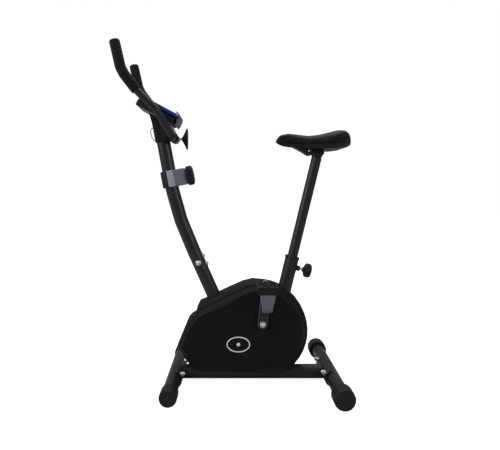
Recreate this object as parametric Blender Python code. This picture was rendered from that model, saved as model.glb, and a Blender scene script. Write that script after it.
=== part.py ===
"""Compact upright exercise bike, metres, +Z up, handlebar towards -X, origin on the floor at its middle."""

import math

import bmesh
import bpy
from mathutils import Matrix, Vector

# Where the working frame's X sits against the middle of the bike.
MIDDLE_X = 0.0073

GAP = 0.0003
TUBE_R = 0.025
TUBE_INNER_R = 0.0225

# Base and stabilizers
BASE_Z = 0.0290
BASE_INSET = 0.018
FRONT_X = -0.208
FRONT_Z = 0.0295
FRONT_HALF = 0.2075
REAR_X = 0.355
REAR_Z = 0.035
REAR_HALF = 0.23
CAP_LENGTH = 0.048
CAP_SIDES = 16
SADDLE_PLATE = 0.005
SADDLE_PLATE_HALF = 0.078

# Front post, as its centre line in side view
SEAM = Vector((-0.1111, 0.0, 0.403))
POST_LINE = [
    (-0.1444, 0.0, 0.477),
    (-0.1907, 0.0, 0.5885),
    (-0.2222, 0.0, 0.700),
    (-0.2555, 0.0, 0.8765),
]
STUB_LEAN = math.radians(24.2)
SPIGOT_LENGTH = 0.06

# Seat tube and seat post
SEAT_LEAN = math.radians(13.8)
SEAT_POINT = Vector((0.22023, 0.0, 0.44620))
SLEEVE_BOTTOM_Z = 0.0575
SEAT_POST_R = 0.0185
SEAT_POST_INNER_R = 0.0165
SEAT_POST_BOTTOM = -0.16
SEAT_POST_TOP = 0.385
PIN_DROP = 0.030
SEAT_KNOB_REACH = 0.051
HOLE_PITCH = 0.025
HOLES_EACH_WAY = 3

# Drive
CRANK = Vector((0.106, 0.0, 0.229))
CRANK_LENGTH = 0.141
CRANK_LEAN = math.radians(4.0)
AXLE_R = 0.0085
AXLE_HALF = 0.0915
SHELL_HALF = 0.030
SHELL_R = 0.0205
SHELL_INNER_R = 0.0165
PULLEY_R = 0.105
BELT_Y = (0.033, 0.043)
BELT_THICK = 0.0025
FLYWHEEL = Vector((-0.105, 0.0, 0.150))
FLYWHEEL_R = 0.060
MAGNET_GAP = 0.003
MAGNET_THICK = 0.0065
MAGNET_ARC = (92, 150)
MAGNET_HALF = 0.012
SMALL_PULLEY_R = 0.016
BRACKET_PIN = Vector((-0.105, 0.0, 0.2315))
PEDAL_Y = (0.100, 0.190)
PEDAL_LENGTH = 0.070
PEDAL_THICK = 0.025
SPINDLE_R = 0.0055
STRAP_REACH = 0.083

# Cover
COVER_HALF = 0.062
COVER_WALL = 0.0025
REAR_ARC = (0.098, 0.190)
REAR_ARC_STEPS = 16

# Handlebar and controls
BAR_R = 0.013
GRIP_R = 0.0182
CLAMP_CAP_R = 0.0175
CLAMP_KNOB_REACH = 0.0283
CLAMP_KNOB_NARROW = 0.42
CROSS = Vector((-0.215, 0.0, 0.889))
CONSOLE_MIDDLE = Vector((-0.2724, 0.0, 0.9883))
CONSOLE_TILT = math.radians(28.0)
CONSOLE_SIZE = (0.158, 0.130)
DISPLAY_SPOT = (-0.022, 0.0)
BUTTON_SPOTS = [(0.044, -0.034), (0.044, 0.0), (0.044, 0.034)]
LEDGE_HALF = 0.050
# (down the console's slope, up from it) round the lip and back along its inside
LEDGE_SECTION = [
    (0.0835, -0.0190),
    (0.0860, -0.0190),
    (0.0872, -0.0060),
    (0.0868, 0.0080),
    (0.0835, 0.0200),
    (0.0745, 0.0262),
    (0.0640, 0.0272),
    (0.0645, 0.0248),
    (0.0735, 0.0238),
    (0.0812, 0.0185),
    (0.0843, 0.0080),
    (0.0793, 0.0065),
    (0.0793, -0.0010),
    (0.0845, -0.0030),
]
POST_HEAD_HALF = 0.024
TENSION = Vector((-0.2297, 0.0, 0.7400))
TENSION_TILT = math.radians(10.7)

# Cable in the post and the lead beside its head
CABLE_R = 0.0025
CABLE_HOLE_DROP = 0.15
WIRE_R = 0.0015
WIRE_LOOP = [
    (-0.2948, 0.0, 0.9300),
    (-0.3010, -0.004, 0.9250),
    (-0.3025, -0.006, 0.9110),
    (-0.2975, -0.004, 0.8930),
    (-0.2860, 0.0, 0.8790),
]

# Saddle
ROCKER_R = 0.010
ROCKER_HALF = 0.0178
CHEEK_R = 0.0150
CHEEK_INNER = 0.0190
CHEEK_OUTER = 0.0232
CLAMP_TOP_Z = 0.8474
# (x, top, underside, half width) from the nose to the tail
SADDLE_SECTIONS = [
    (0.161, 0.882, 0.876, 0.012),
    (0.179, 0.906, 0.870, 0.022),
    (0.205, 0.907, 0.866, 0.027),
    (0.239, 0.902, 0.862, 0.034),
    (0.279, 0.896, 0.860, 0.048),
    (0.310, 0.898, 0.860, 0.064),
    (0.340, 0.904, 0.861, 0.083),
    (0.370, 0.912, 0.861, 0.0945),
    (0.398, 0.917, 0.861, 0.085),
    (0.414, 0.910, 0.861, 0.066),
    (0.424, 0.896, 0.861, 0.046),
    (0.430, 0.874, 0.862, 0.026),
]
PAN_SECTIONS = [
    (0.170, 0.8685, 0.8660, 0.010),
    (0.205, 0.8640, 0.8600, 0.022),
    (0.239, 0.8600, 0.8540, 0.028),
    (0.279, 0.8590, 0.8500, 0.042),
    (0.310, 0.8590, 0.8480, 0.056),
    (0.340, 0.8595, 0.8480, 0.073),
    (0.370, 0.8600, 0.8480, 0.085),
    (0.400, 0.8602, 0.8515, 0.073),
    (0.414, 0.8602, 0.8560, 0.055),
]
# Side view of the pan's keel, which runs down in front of the clamp
KEEL = [
    (0.214, 0.8580),
    (0.241, 0.8490),
    (0.261, 0.8375),
    (0.2765, 0.8275),
    (0.286, 0.8265),
    (0.2918, 0.8300),
    (0.2918, 0.8560),
    (0.214, 0.8610),
]
KEEL_HALF = 0.019
PAN_BASE_SHARE = 0.8

MATERIALS = {
    "frame_paint": (0.018, 0.020, 0.019, 0.6, 0.32),
    "cover_plastic": (0.020, 0.020, 0.022, 0.0, 0.55),
    "black_plastic": (0.016, 0.016, 0.017, 0.0, 0.5),
    "foam": (0.022, 0.022, 0.020, 0.0, 0.9),
    "saddle_skin": (0.014, 0.014, 0.013, 0.0, 0.6),
    "zinc": (0.62, 0.63, 0.64, 1.0, 0.3),
    "crank_steel": (0.30, 0.29, 0.27, 1.0, 0.35),
    "strap_rubber": (0.13, 0.14, 0.18, 0.0, 0.6),
    "blue_plastic": (0.015, 0.045, 0.40, 0.0, 0.3),
    "grey_plastic": (0.28, 0.30, 0.33, 0.0, 0.4),
    "silver_plastic": (0.33, 0.36, 0.42, 0.0, 0.35),
    "display": (0.10, 0.12, 0.10, 0.0, 0.1),
    "belt_rubber": (0.02, 0.02, 0.02, 0.0, 0.8),
    "iron": (0.15, 0.15, 0.15, 1.0, 0.5),
    "alloy": (0.55, 0.56, 0.58, 1.0, 0.4),
    "cable_jacket": (0.18, 0.18, 0.18, 0.0, 0.5),
}


def start_clean():
    for old in list(bpy.data.objects):
        bpy.data.objects.remove(old, do_unlink=True)


def material(slot):
    found = bpy.data.materials.get(slot)
    if found:
        return found
    made = bpy.data.materials.new(slot)
    made.use_nodes = True
    red, green, blue, metal, rough = MATERIALS[slot]
    shader = made.node_tree.nodes["Principled BSDF"]
    shader.inputs["Base Color"].default_value = (red, green, blue, 1.0)
    shader.inputs["Metallic"].default_value = metal
    shader.inputs["Roughness"].default_value = rough
    return made


def finish(bm, name, slot, origin=(0.0, 0.0, 0.0)):
    """Turns a mesh in the working frame into a named object whose origin is at the given point."""
    origin = Vector(origin)
    bmesh.ops.translate(bm, verts=bm.verts, vec=-origin)
    bmesh.ops.recalc_face_normals(bm, faces=bm.faces)
    mesh = bpy.data.meshes.new(name)
    bm.to_mesh(mesh)
    bm.free()
    made = bpy.data.objects.new(name, mesh)
    bpy.context.scene.collection.objects.link(made)
    made.location = origin - Vector((MIDDLE_X, 0.0, 0.0))
    mesh.materials.append(material(slot))
    for face in mesh.polygons:
        face.use_smooth = len(face.vertices) == 4
    return made


def cut(target, cutters, operation="DIFFERENCE"):
    """Cuts (or joins) each mesh of the list with the target by a live Boolean."""
    for number, bm in enumerate(cutters):
        tool = finish(bm, f"{target.name}_{operation.lower()}_{number}", "black_plastic")
        tool.hide_render = True
        tool.display_type = "WIRE"
        boolean = target.modifiers.new(tool.name, "BOOLEAN")
        boolean.operation = operation
        boolean.solver = "EXACT"
        boolean.object = tool


def basis_for(direction):
    """Two unit vectors square to the direction."""
    direction = Vector(direction).normalized()
    helper = Vector((0.0, 1.0, 0.0))
    if abs(direction.dot(helper)) > 0.9:
        helper = Vector((0.0, 0.0, 1.0))
    side = helper.cross(direction).normalized()
    return side, direction.cross(side).normalized()


def lathe(profile, base, direction, sides=24, phase=0.0):
    """Turns (radius, height) points about an axis; a profile off the axis at both ends becomes a ring."""
    bm = bmesh.new()
    base = Vector(base)
    direction = Vector(direction).normalized()
    side, other = basis_for(direction)
    rings = []
    for radius, height in profile:
        middle = base + direction * height
        if radius == 0.0:
            rings.append([bm.verts.new(middle)])
            continue
        ring = []
        for step in range(sides):
            angle = phase + 2 * math.pi * step / sides
            outward = side * math.cos(angle) + other * math.sin(angle)
            ring.append(bm.verts.new(middle + outward * radius))
        rings.append(ring)
    pairs = list(zip(rings, rings[1:]))
    if len(rings[0]) > 1:
        pairs.append((rings[-1], rings[0]))
    for first, second in pairs:
        for step in range(sides):
            after = (step + 1) % sides
            if len(first) == 1:
                bm.faces.new((first[0], second[step], second[after]))
            elif len(second) == 1:
                bm.faces.new((first[step], first[after], second[0]))
            else:
                bm.faces.new((first[step], first[after], second[after], second[step]))
    return bm


def rod(start, end, radius, sides=20, phase=0.0):
    start = Vector(start)
    length = (Vector(end) - start).length
    profile = [(0.0, 0.0), (radius, 0.0), (radius, length), (0.0, length)]
    return lathe(profile, start, Vector(end) - start, sides, phase)


def ring_tube(start, end, outer, inner, sides=24, phase=0.0):
    start = Vector(start)
    length = (Vector(end) - start).length
    profile = [(outer, 0.0), (outer, length), (inner, length), (inner, 0.0)]
    return lathe(profile, start, Vector(end) - start, sides, phase)


def rounded(points, radius, steps=6):
    """A path with each inside corner replaced by an arc."""
    points = [Vector(point) for point in points]
    path = [points[0]]
    for before, corner, after in zip(points, points[1:], points[2:]):
        back = (before - corner).normalized()
        ahead = (after - corner).normalized()
        turn = back.angle(ahead)
        shortest = min((before - corner).length, (after - corner).length)
        reach = min(radius / math.tan(turn / 2), 0.48 * shortest)
        start = corner + back * reach
        end = corner + ahead * reach
        for step in range(steps + 1):
            share = step / steps
            path.append(start.lerp(corner, share).lerp(corner.lerp(end, share), share))
    path.append(points[-1])
    return path


def frames_along(path):
    """A side vector for each point of a path, turned as little as possible from one to the next."""
    tangents = []
    for number, point in enumerate(path):
        before = path[max(number - 1, 0)]
        after = path[min(number + 1, len(path) - 1)]
        tangents.append((after - before).normalized())
    side, _ = basis_for(tangents[0])
    frames = []
    for tangent in tangents:
        side = (side - tangent * side.dot(tangent)).normalized()
        frames.append((side, tangent.cross(side)))
    return frames


def swept(path, outer, inner=0.0, sides=14):
    """A tube, or a rod when inner is 0, along a path; outer may be one radius or one for each point."""
    bm = bmesh.new()
    path = [Vector(point) for point in path]
    frames = frames_along(path)
    outers = outer if isinstance(outer, list) else [outer] * len(path)

    def rings_of(radii):
        rings = []
        for point, radius, (side, other) in zip(path, radii, frames):
            ring = []
            for step in range(sides):
                angle = 2 * math.pi * step / sides
                outward = side * math.cos(angle) + other * math.sin(angle)
                ring.append(bm.verts.new(point + outward * radius))
            rings.append(ring)
        return rings

    def wall(first, second):
        for step in range(sides):
            after = (step + 1) % sides
            bm.faces.new((first[step], first[after], second[after], second[step]))

    outside = rings_of(outers)
    for first, second in zip(outside, outside[1:]):
        wall(first, second)
    if inner:
        inside = rings_of([inner] * len(path))
        for first, second in zip(inside, inside[1:]):
            wall(first, second)
        wall(outside[0], inside[0])
        wall(outside[-1], inside[-1])
    else:
        bm.faces.new(outside[0])
        bm.faces.new(outside[-1])
    return bm


def prism(outline, low, high):
    """An outline of (x, z) points taken from one y to another."""
    return stacked([[(x, low, z) for x, z in outline], [(x, high, z) for x, z in outline]])


def stacked(rings):
    """Closed body through rings with the same number of points, capped at both ends."""
    bm = bmesh.new()
    made = [[bm.verts.new(point) for point in ring] for ring in rings]
    count = len(made[0])
    for first, second in zip(made, made[1:]):
        for step in range(count):
            after = (step + 1) % count
            bm.faces.new((first[step], first[after], second[after], second[step]))
    bm.faces.new(made[0])
    bm.faces.new(made[-1])
    return bm


def box(middle, size, turn=0.0, bevel=0.0):
    """A box turned about Y, with its edges rounded."""
    bm = bmesh.new()
    bmesh.ops.create_cube(bm, size=1.0)
    bmesh.ops.scale(bm, vec=Vector(size), verts=bm.verts)
    if bevel:
        bmesh.ops.bevel(
            bm, geom=list(bm.edges), offset=bevel, segments=2, profile=0.5, affect="EDGES", clamp_overlap=True
        )
    placed = Matrix.Translation(Vector(middle)) @ Matrix.Rotation(turn, 4, "Y")
    bmesh.ops.transform(bm, matrix=placed, verts=bm.verts)
    return bm


def arc(middle, radius, start, end, steps):
    """Points of an arc in (x, z), angles in degrees from +X towards +Z."""
    points = []
    for step in range(steps + 1):
        angle = math.radians(start + (end - start) * step / steps)
        points.append((middle[0] + radius * math.cos(angle), middle[1] + radius * math.sin(angle)))
    return points


def offset_outline(outline, distance):
    """The outline moved inwards by a distance along its corners' middle lines."""
    count = len(outline)
    area = 0.0
    for (x, z), (next_x, next_z) in zip(outline, outline[1:] + outline[:1]):
        area += x * next_z - next_x * z
    turn = 1.0 if area > 0 else -1.0
    moved = []
    for number in range(count):
        here = Vector(outline[number])
        before = (here - Vector(outline[number - 1])).normalized()
        after = (Vector(outline[(number + 1) % count]) - here).normalized()
        middle = Vector((-(before.y + after.y), before.x + after.x)).normalized() * turn
        square = Vector((-after.y, after.x)) * turn
        moved.append(tuple(here + middle * distance / max(middle.dot(square), 0.5)))
    return moved


STUB_AXIS = Vector((-math.sin(STUB_LEAN), 0.0, math.cos(STUB_LEAN)))
SEAT_AXIS = Vector((math.sin(SEAT_LEAN), 0.0, math.cos(SEAT_LEAN)))
SEAT_REAR = Vector((math.cos(SEAT_LEAN), 0.0, -math.sin(SEAT_LEAN)))
Y_AXIS = Vector((0.0, 1.0, 0.0))


def on_seat_axis(distance):
    return SEAT_POINT + SEAT_AXIS * distance


SADDLE_PIVOT = on_seat_axis(SEAT_POST_TOP + 0.0085)


def seat_distance(height):
    return (height - SEAT_POINT.z) / SEAT_AXIS.z


def along_y(middle, low, high):
    middle = Vector(middle)
    return middle + Y_AXIS * low, middle + Y_AXIS * high


def make_base():
    front = Vector((FRONT_X, 0.0, FRONT_Z))
    rear = Vector((REAR_X, 0.0, REAR_Z))
    outside = TUBE_R + GAP + SADDLE_PLATE
    base_start = (FRONT_X + BASE_INSET, 0.0, BASE_Z)
    base_end = (REAR_X - BASE_INSET, 0.0, BASE_Z)
    base = finish(ring_tube(base_start, base_end, TUBE_R, TUBE_INNER_R), "base_tube", "frame_paint")
    coping = []
    for middle in (front, rear):
        coping.append(rod(*along_y(middle, -0.1, 0.1), outside + GAP, 36))
    cut(base, coping)

    for name, middle, half, facing in (("front", front, FRONT_HALF, 0.0), ("rear", rear, REAR_HALF, 180.0)):
        tube = ring_tube(*along_y(middle, -half + 0.010, half - 0.010), TUBE_R, TUBE_INNER_R)
        finish(tube, f"{name}_stabilizer", "frame_paint")
        low, high = (-55, 80) if facing == 0.0 else (100, 235)
        inner = arc((middle.x, middle.z), TUBE_R + GAP, low, high, 12)
        outer = arc((middle.x, middle.z), outside, high, low, 12)
        plate = prism(inner + outer, -SADDLE_PLATE_HALF, SADDLE_PLATE_HALF)
        finish(plate, f"{name}_saddle_plate", "frame_paint")
        radius = middle.z / math.cos(math.pi / CAP_SIDES)
        socket = (TUBE_R + GAP) / math.cos(math.pi / CAP_SIDES)
        for side, sign in (("left", -1.0), ("right", 1.0)):
            cap = [
                (radius * 0.97, half - CAP_LENGTH),
                (radius, half - CAP_LENGTH + 0.002),
                (radius, half - 0.006),
                (radius * 0.93, half - 0.0015),
                (radius * 0.80, half),
                (0.0, half),
                (0.0, half - 0.010 + GAP),
                (socket, half - 0.010 + GAP),
                (socket, half - CAP_LENGTH),
            ]
            finish(
                capped_lathe(cap, middle, Y_AXIS * sign, CAP_SIDES),
                f"{name}_cap_{side}",
                "black_plastic",
            )


def capped_lathe(profile, base, direction, sides):
    """A cup turned about its axis; the profile touches the axis twice and its ends meet at the rim."""
    split = [number for number, (radius, _) in enumerate(profile) if radius == 0.0]
    first, second = split
    loop = profile[second:] + profile[: first + 1]
    return lathe(loop, base, direction, sides, math.pi / sides)


def make_tubes():
    stub_low = SEAM - STUB_AXIS * ((SEAM.z - 0.0575) / STUB_AXIS.z)
    length = (SEAM - stub_low).length
    profile = [
        (TUBE_R, 0.0),
        (TUBE_R, length),
        (0.0222, length),
        (0.0222, length + SPIGOT_LENGTH),
        (0.0195, length + SPIGOT_LENGTH),
        (0.0195, 0.0),
    ]
    stub = finish(lathe(profile, stub_low, STUB_AXIS), "front_stub_tube", "frame_paint")
    cable_hole = SEAM - STUB_AXIS * CABLE_HOLE_DROP
    cut(
        stub,
        [
            rod((-0.25, 0, BASE_Z), (0.4, 0, BASE_Z), TUBE_R + GAP, 40, 0.1),
            rod(cable_hole, cable_hole + Vector((-0.04, 0.0, -0.018)), 0.006, 16),
        ],
    )
    sleeve_low = on_seat_axis(seat_distance(SLEEVE_BOTTOM_Z))
    sleeve = finish(ring_tube(sleeve_low, SEAT_POINT, TUBE_R, TUBE_INNER_R), "seat_tube", "frame_paint")
    pin = on_seat_axis(-PIN_DROP)
    cut(sleeve, [rod(pin + SEAT_REAR * 0.0235, pin + SEAT_REAR * 0.036, 0.010, 20)], "UNION")
    cut(
        sleeve,
        [
            rod((-0.25, 0, BASE_Z), (0.4, 0, BASE_Z), TUBE_R + GAP, 40, 0.1),
            rod(pin + SEAT_REAR * 0.010, pin + SEAT_REAR * 0.04, 0.006, 20),
        ],
    )

    bushing = [
        (0.0268, GAP),
        (0.0268, 0.007),
        (0.0250, 0.009),
        (SEAT_POST_R + 0.0002, 0.009),
        (SEAT_POST_R + 0.0002, -0.018),
        (TUBE_INNER_R - 0.0002, -0.018),
        (TUBE_INNER_R - 0.0002, GAP),
    ]
    finish(lathe(bushing, SEAT_POINT, SEAT_AXIS), "seat_tube_bushing", "black_plastic")

    post_path = rounded([SEAM + STUB_AXIS * GAP] + POST_LINE, 0.25, 3)
    post = finish(swept(post_path, TUBE_R, 0.0226, 24), "handlebar_post", "frame_paint")
    rear = Vector((math.cos(TENSION_TILT), 0.0, math.sin(TENSION_TILT)))
    cut(post, [rod(TENSION + rear * 0.012, TENSION + rear * 0.04, 0.009, 20)])


def make_bottom_bracket():
    shell = ring_tube(*along_y(CRANK, -SHELL_HALF, SHELL_HALF), SHELL_R, SHELL_INNER_R)
    finish(shell, "bottom_bracket_shell", "frame_paint")
    seat_edge = TUBE_R + GAP
    upper = on_seat_axis(seat_distance(0.262)) - SEAT_REAR * seat_edge
    lower = on_seat_axis(seat_distance(0.150)) - SEAT_REAR * seat_edge
    around = arc((CRANK.x, CRANK.z), SHELL_R + GAP, 78, -110, 14)
    outline = [(upper.x, upper.z)] + around + [(lower.x, lower.z)]
    finish(prism(outline, -0.004, 0.004), "bracket_gusset", "frame_paint")
    for side, low, high in (("left", -0.029, -0.018), ("right", 0.018, 0.029)):
        bearing = ring_tube(*along_y(CRANK, low, high), SHELL_INNER_R - GAP, AXLE_R + 0.00015)
        finish(bearing, f"crank_bearing_{side}", "zinc")


def make_crank():
    finish(rod(*along_y(CRANK, -AXLE_HALF, AXLE_HALF), AXLE_R, 32), "crank_axle", "crank_steel", CRANK)
    pulley = [
        (PULLEY_R, 0.0328),
        (PULLEY_R, 0.0432),
        (PULLEY_R - 0.008, 0.0432),
        (PULLEY_R - 0.010, 0.0395),
        (0.026, 0.0395),
        (0.024, 0.0460),
        (AXLE_R + GAP, 0.0460),
        (AXLE_R + GAP, 0.0315),
        (0.024, 0.0315),
        (0.026, 0.0365),
        (PULLEY_R - 0.010, 0.0365),
        (PULLEY_R - 0.008, 0.0328),
    ]
    finish(lathe(pulley, CRANK, Y_AXIS, 36), "drive_pulley", "black_plastic", CRANK)
    for side, sign in (("left", -1.0), ("right", 1.0)):
        aim = Vector((math.sin(CRANK_LEAN), 0.0, math.cos(CRANK_LEAN))) * -sign
        across = Vector((aim.z, 0.0, -aim.x))
        end = CRANK + aim * CRANK_LENGTH
        outline = []
        for step in range(13):
            angle = math.pi * step / 12
            point = end + across * 0.012 * math.cos(angle) + aim * 0.012 * math.sin(angle)
            outline.append((point.x, point.z))
        for step in range(17):
            angle = math.pi + math.pi * step / 16
            point = CRANK + across * 0.017 * math.cos(angle) + aim * 0.017 * math.sin(angle)
            outline.append((point.x, point.z))
        arm = finish(prism(outline, 0.072 * sign, 0.086 * sign), f"crank_arm_{side}", "crank_steel", CRANK)
        cut(arm, [rod(*along_y(CRANK, 0.06 * sign, 0.1 * sign), AXLE_R + GAP, 32)])
        make_pedal(side, sign, end)


def make_pedal(side, sign, end):
    spindle = [
        (0.0, 0.0863),
        (0.0085, 0.0863),
        (0.0085, 0.0975),
        (SPINDLE_R, 0.0980),
        (SPINDLE_R, 0.182),
        (0.0, 0.182),
    ]
    finish(lathe(spindle, end, Y_AXIS * sign, 20), f"pedal_spindle_{side}", "zinc", end)
    low, high = PEDAL_Y
    tread = box(end + Y_AXIS * sign * (low + high) / 2, (PEDAL_LENGTH, high - low, PEDAL_THICK), 0.0, 0.004)
    pedal = finish(tread, f"pedal_{side}", "black_plastic", end)
    cut(pedal, [rod(*along_y(end, 0.09 * sign, 0.184 * sign), SPINDLE_R + 0.0003, 20)])
    half = PEDAL_THICK / 2
    path = [
        (low + 0.004, -half - GAP, 0.0255),
        (low + 0.003, -0.030, 0.0225),
        (low + 0.006, -0.045, 0.0175),
        (low + 0.018, -0.064, 0.0165),
        ((low + high) / 2, -STRAP_REACH + 0.0025, 0.0155),
        (high - 0.018, -0.064, 0.0165),
        (high - 0.006, -0.045, 0.0175),
        (high - 0.003, -0.030, 0.0225),
        (high - 0.004, -half - GAP, 0.0255),
    ]
    rings = []
    for number, (y, z, width) in enumerate(path):
        before = path[max(number - 1, 0)]
        after = path[min(number + 1, len(path) - 1)]
        out = Vector((after[1] - before[1], -(after[0] - before[0]))).normalized() * 0.0025
        if number in (0, len(path) - 1):
            out = Vector((-0.0025 if number == 0 else 0.0025, 0.0))
        rings.append(
            [
                (end.x - width, sign * y, end.z + z),
                (end.x + width, sign * y, end.z + z),
                (end.x + width, sign * (y - out.x * (1 if number else -1)), end.z + z - out.y),
                (end.x - width, sign * (y - out.x * (1 if number else -1)), end.z + z - out.y),
            ]
        )
    finish(stacked(rings), f"pedal_strap_{side}", "strap_rubber", end)


def belt_outline(extra):
    """The belt's loop around both pulleys, grown by the given amount."""
    big = Vector((CRANK.x, CRANK.z))
    small = Vector((FLYWHEEL.x, FLYWHEEL.z))
    between = small - big
    heading = math.atan2(between.y, between.x)
    spread = math.acos((PULLEY_R - SMALL_PULLEY_R) / between.length)
    upper = math.degrees(heading + spread)
    lower = math.degrees(heading - spread)
    points = arc(big, PULLEY_R + extra, upper, lower + 360, 28)
    points += arc(small, SMALL_PULLEY_R + extra, lower, upper, 10)
    return points


def make_flywheel():
    outer = belt_outline(GAP + BELT_THICK)
    inner = belt_outline(GAP)
    bm = bmesh.new()
    rings = []
    for outline, y in ((outer, BELT_Y[0]), (outer, BELT_Y[1]), (inner, BELT_Y[1]), (inner, BELT_Y[0])):
        rings.append([bm.verts.new((x, y, z)) for x, z in outline])
    count = len(outer)
    for first, second in zip(rings, rings[1:] + rings[:1]):
        for step in range(count):
            after = (step + 1) % count
            bm.faces.new((first[step], first[after], second[after], second[step]))
    finish(bm, "drive_belt", "belt_rubber")
    wheel = [
        (FLYWHEEL_R, -0.015),
        (FLYWHEEL_R, 0.015),
        (FLYWHEEL_R - 0.014, 0.015),
        (FLYWHEEL_R - 0.016, 0.006),
        (0.018, 0.006),
        (0.013, 0.0320),
        (SMALL_PULLEY_R, 0.0325),
        (SMALL_PULLEY_R, 0.0435),
        (SMALL_PULLEY_R - 0.003, 0.0455),
        (0.0062, 0.0455),
        (0.0062, -0.022),
        (0.016, -0.022),
        (0.018, -0.006),
        (FLYWHEEL_R - 0.016, -0.006),
        (FLYWHEEL_R - 0.014, -0.015),
    ]
    finish(lathe(wheel, FLYWHEEL, Y_AXIS, 36), "flywheel", "iron", FLYWHEEL)
    finish(rod(*along_y(FLYWHEEL, -0.0255, 0.0465), 0.0060, 24), "flywheel_axle", "zinc")
    plate = [
        (-0.045, 0.255),
        (-0.004, 0.175),
        (-0.030, 0.150),
        (-0.105, 0.134),
        (-0.121, 0.150),
        (-0.118, 0.2315),
        (-0.105, 0.2435),
    ]
    finish(prism(plate, -0.0295, -0.0258), "axle_plate_left", "frame_paint")
    right = finish(prism(plate, 0.0468, 0.0500), "axle_plate_right", "frame_paint")
    cut(right, [rod((-0.030, 0.0256, 0.205), (-0.030, 0.0480, 0.205), 0.008, 20)], "UNION")
    middle = (FLYWHEEL.x, FLYWHEEL.z)
    low, high = MAGNET_ARC
    inner = FLYWHEEL_R + MAGNET_GAP
    bracket = arc(middle, inner, low, high, 12) + arc(middle, inner + MAGNET_THICK, high, low + 6, 12)
    bracket += [
        (BRACKET_PIN.x - 0.008, BRACKET_PIN.z + 0.003),
        (BRACKET_PIN.x, BRACKET_PIN.z + 0.008),
        (BRACKET_PIN.x + 0.0075, BRACKET_PIN.z),
    ]
    shoe = finish(prism(bracket, -MAGNET_HALF, MAGNET_HALF), "magnet_bracket", "alloy", BRACKET_PIN)
    cut(shoe, [rod(*along_y(BRACKET_PIN, -0.02, 0.02), 0.0033, 16)])
    finish(rod(*along_y(BRACKET_PIN, -0.0255, 0.0465), 0.0030, 16), "magnet_bracket_pin", "zinc")


def cover_rings():
    """Matching outlines of the cover in side view: the widest one at the seam and the flat side face."""
    seam = [
        (-0.138, 0.050), (-0.155, 0.066), (-0.178, 0.096), (-0.2015, 0.133),
        (-0.1635, 0.2250), (-0.1500, 0.2385), (-0.1350, 0.2470), (-0.1300, 0.2700),
        (-0.1215, 0.2875), (-0.095, 0.2985), (-0.047, 0.322), (-0.012, 0.338),
        (0.0385, 0.360), (0.075, 0.369),
    ]
    face = [
        (-0.128, 0.060), (-0.142, 0.074), (-0.162, 0.100), (-0.183, 0.135),
        (-0.1500, 0.2120), (-0.1400, 0.2260), (-0.1280, 0.2360), (-0.1190, 0.2480),
        (-0.1080, 0.2570), (-0.084, 0.267), (-0.035, 0.288), (0.008, 0.3115),
        (0.043, 0.329), (0.070, 0.339),
    ]
    seam += arc(REAR_ARC, 0.176, 84, -60, REAR_ARC_STEPS) + [(0.133, 0.036)]
    face += arc(REAR_ARC, 0.152, 88, -68, REAR_ARC_STEPS) + [(0.120, 0.046)]
    return seam, face


def between_outlines(first, second, share):
    return [(a[0] + (b[0] - a[0]) * share, a[1] + (b[1] - a[1]) * share) for a, b in zip(first, second)]


def make_cover(side, sign):
    seam, face = cover_rings()
    levels = (
        (GAP, 0.0), (0.034, 0.06), (0.043, 0.30), (0.046, 0.42),
        (0.047, 0.55), (0.0555, 0.80), (0.060, 0.97), (COVER_HALF, 1.06),
    )
    outside = []
    inside = []
    for depth, share in levels:
        outline = between_outlines(seam, face, share)
        outside.append([(x, sign * depth, z) for x, z in outline])
        inner_depth = max(depth - COVER_WALL, GAP)
        inside.append([(x, sign * inner_depth, z) for x, z in offset_outline(outline, COVER_WALL)])
    cover = finish(stacked(inside[::-1] + outside), f"cover_{side}", "cover_plastic")
    axle = (CRANK.x, CRANK.z)
    pad = prism(arc(axle, 0.036, 0, 345, 23), sign * 0.0545, sign * (COVER_HALF - 0.001))
    arch = [
        (0.0755, 0.060), (0.0725, 0.085), (0.078, 0.102), (0.090, 0.109),
        (0.117, 0.109), (0.129, 0.102), (0.135, 0.085), (0.132, 0.060),
    ]
    arch_pad = prism(offset_outline(arch, -0.003), sign * 0.0555, sign * (COVER_HALF - 0.001))
    cut(cover, [pad, arch_pad], "UNION")
    sleeve_low = on_seat_axis(seat_distance(0.03))
    cut(
        cover,
        [
            rod(*along_y(CRANK, sign * 0.0580, sign * 0.08), 0.033, 32),
            rod(*along_y(CRANK, sign * 0.05, sign * 0.08), 0.0115, 24),
            prism(arch, sign * 0.0590, sign * 0.08),
            rod((-0.3, 0, BASE_Z), (0.4, 0, BASE_Z), TUBE_R + 0.0008, 40, 0.05),
            rod(SEAM - STUB_AXIS * 0.36, SEAM + STUB_AXIS * 0.05, TUBE_R + 0.0008, 40, 0.05),
            rod(sleeve_low, SEAT_POINT, TUBE_R + 0.0008, 40, 0.05),
        ],
    )


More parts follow.
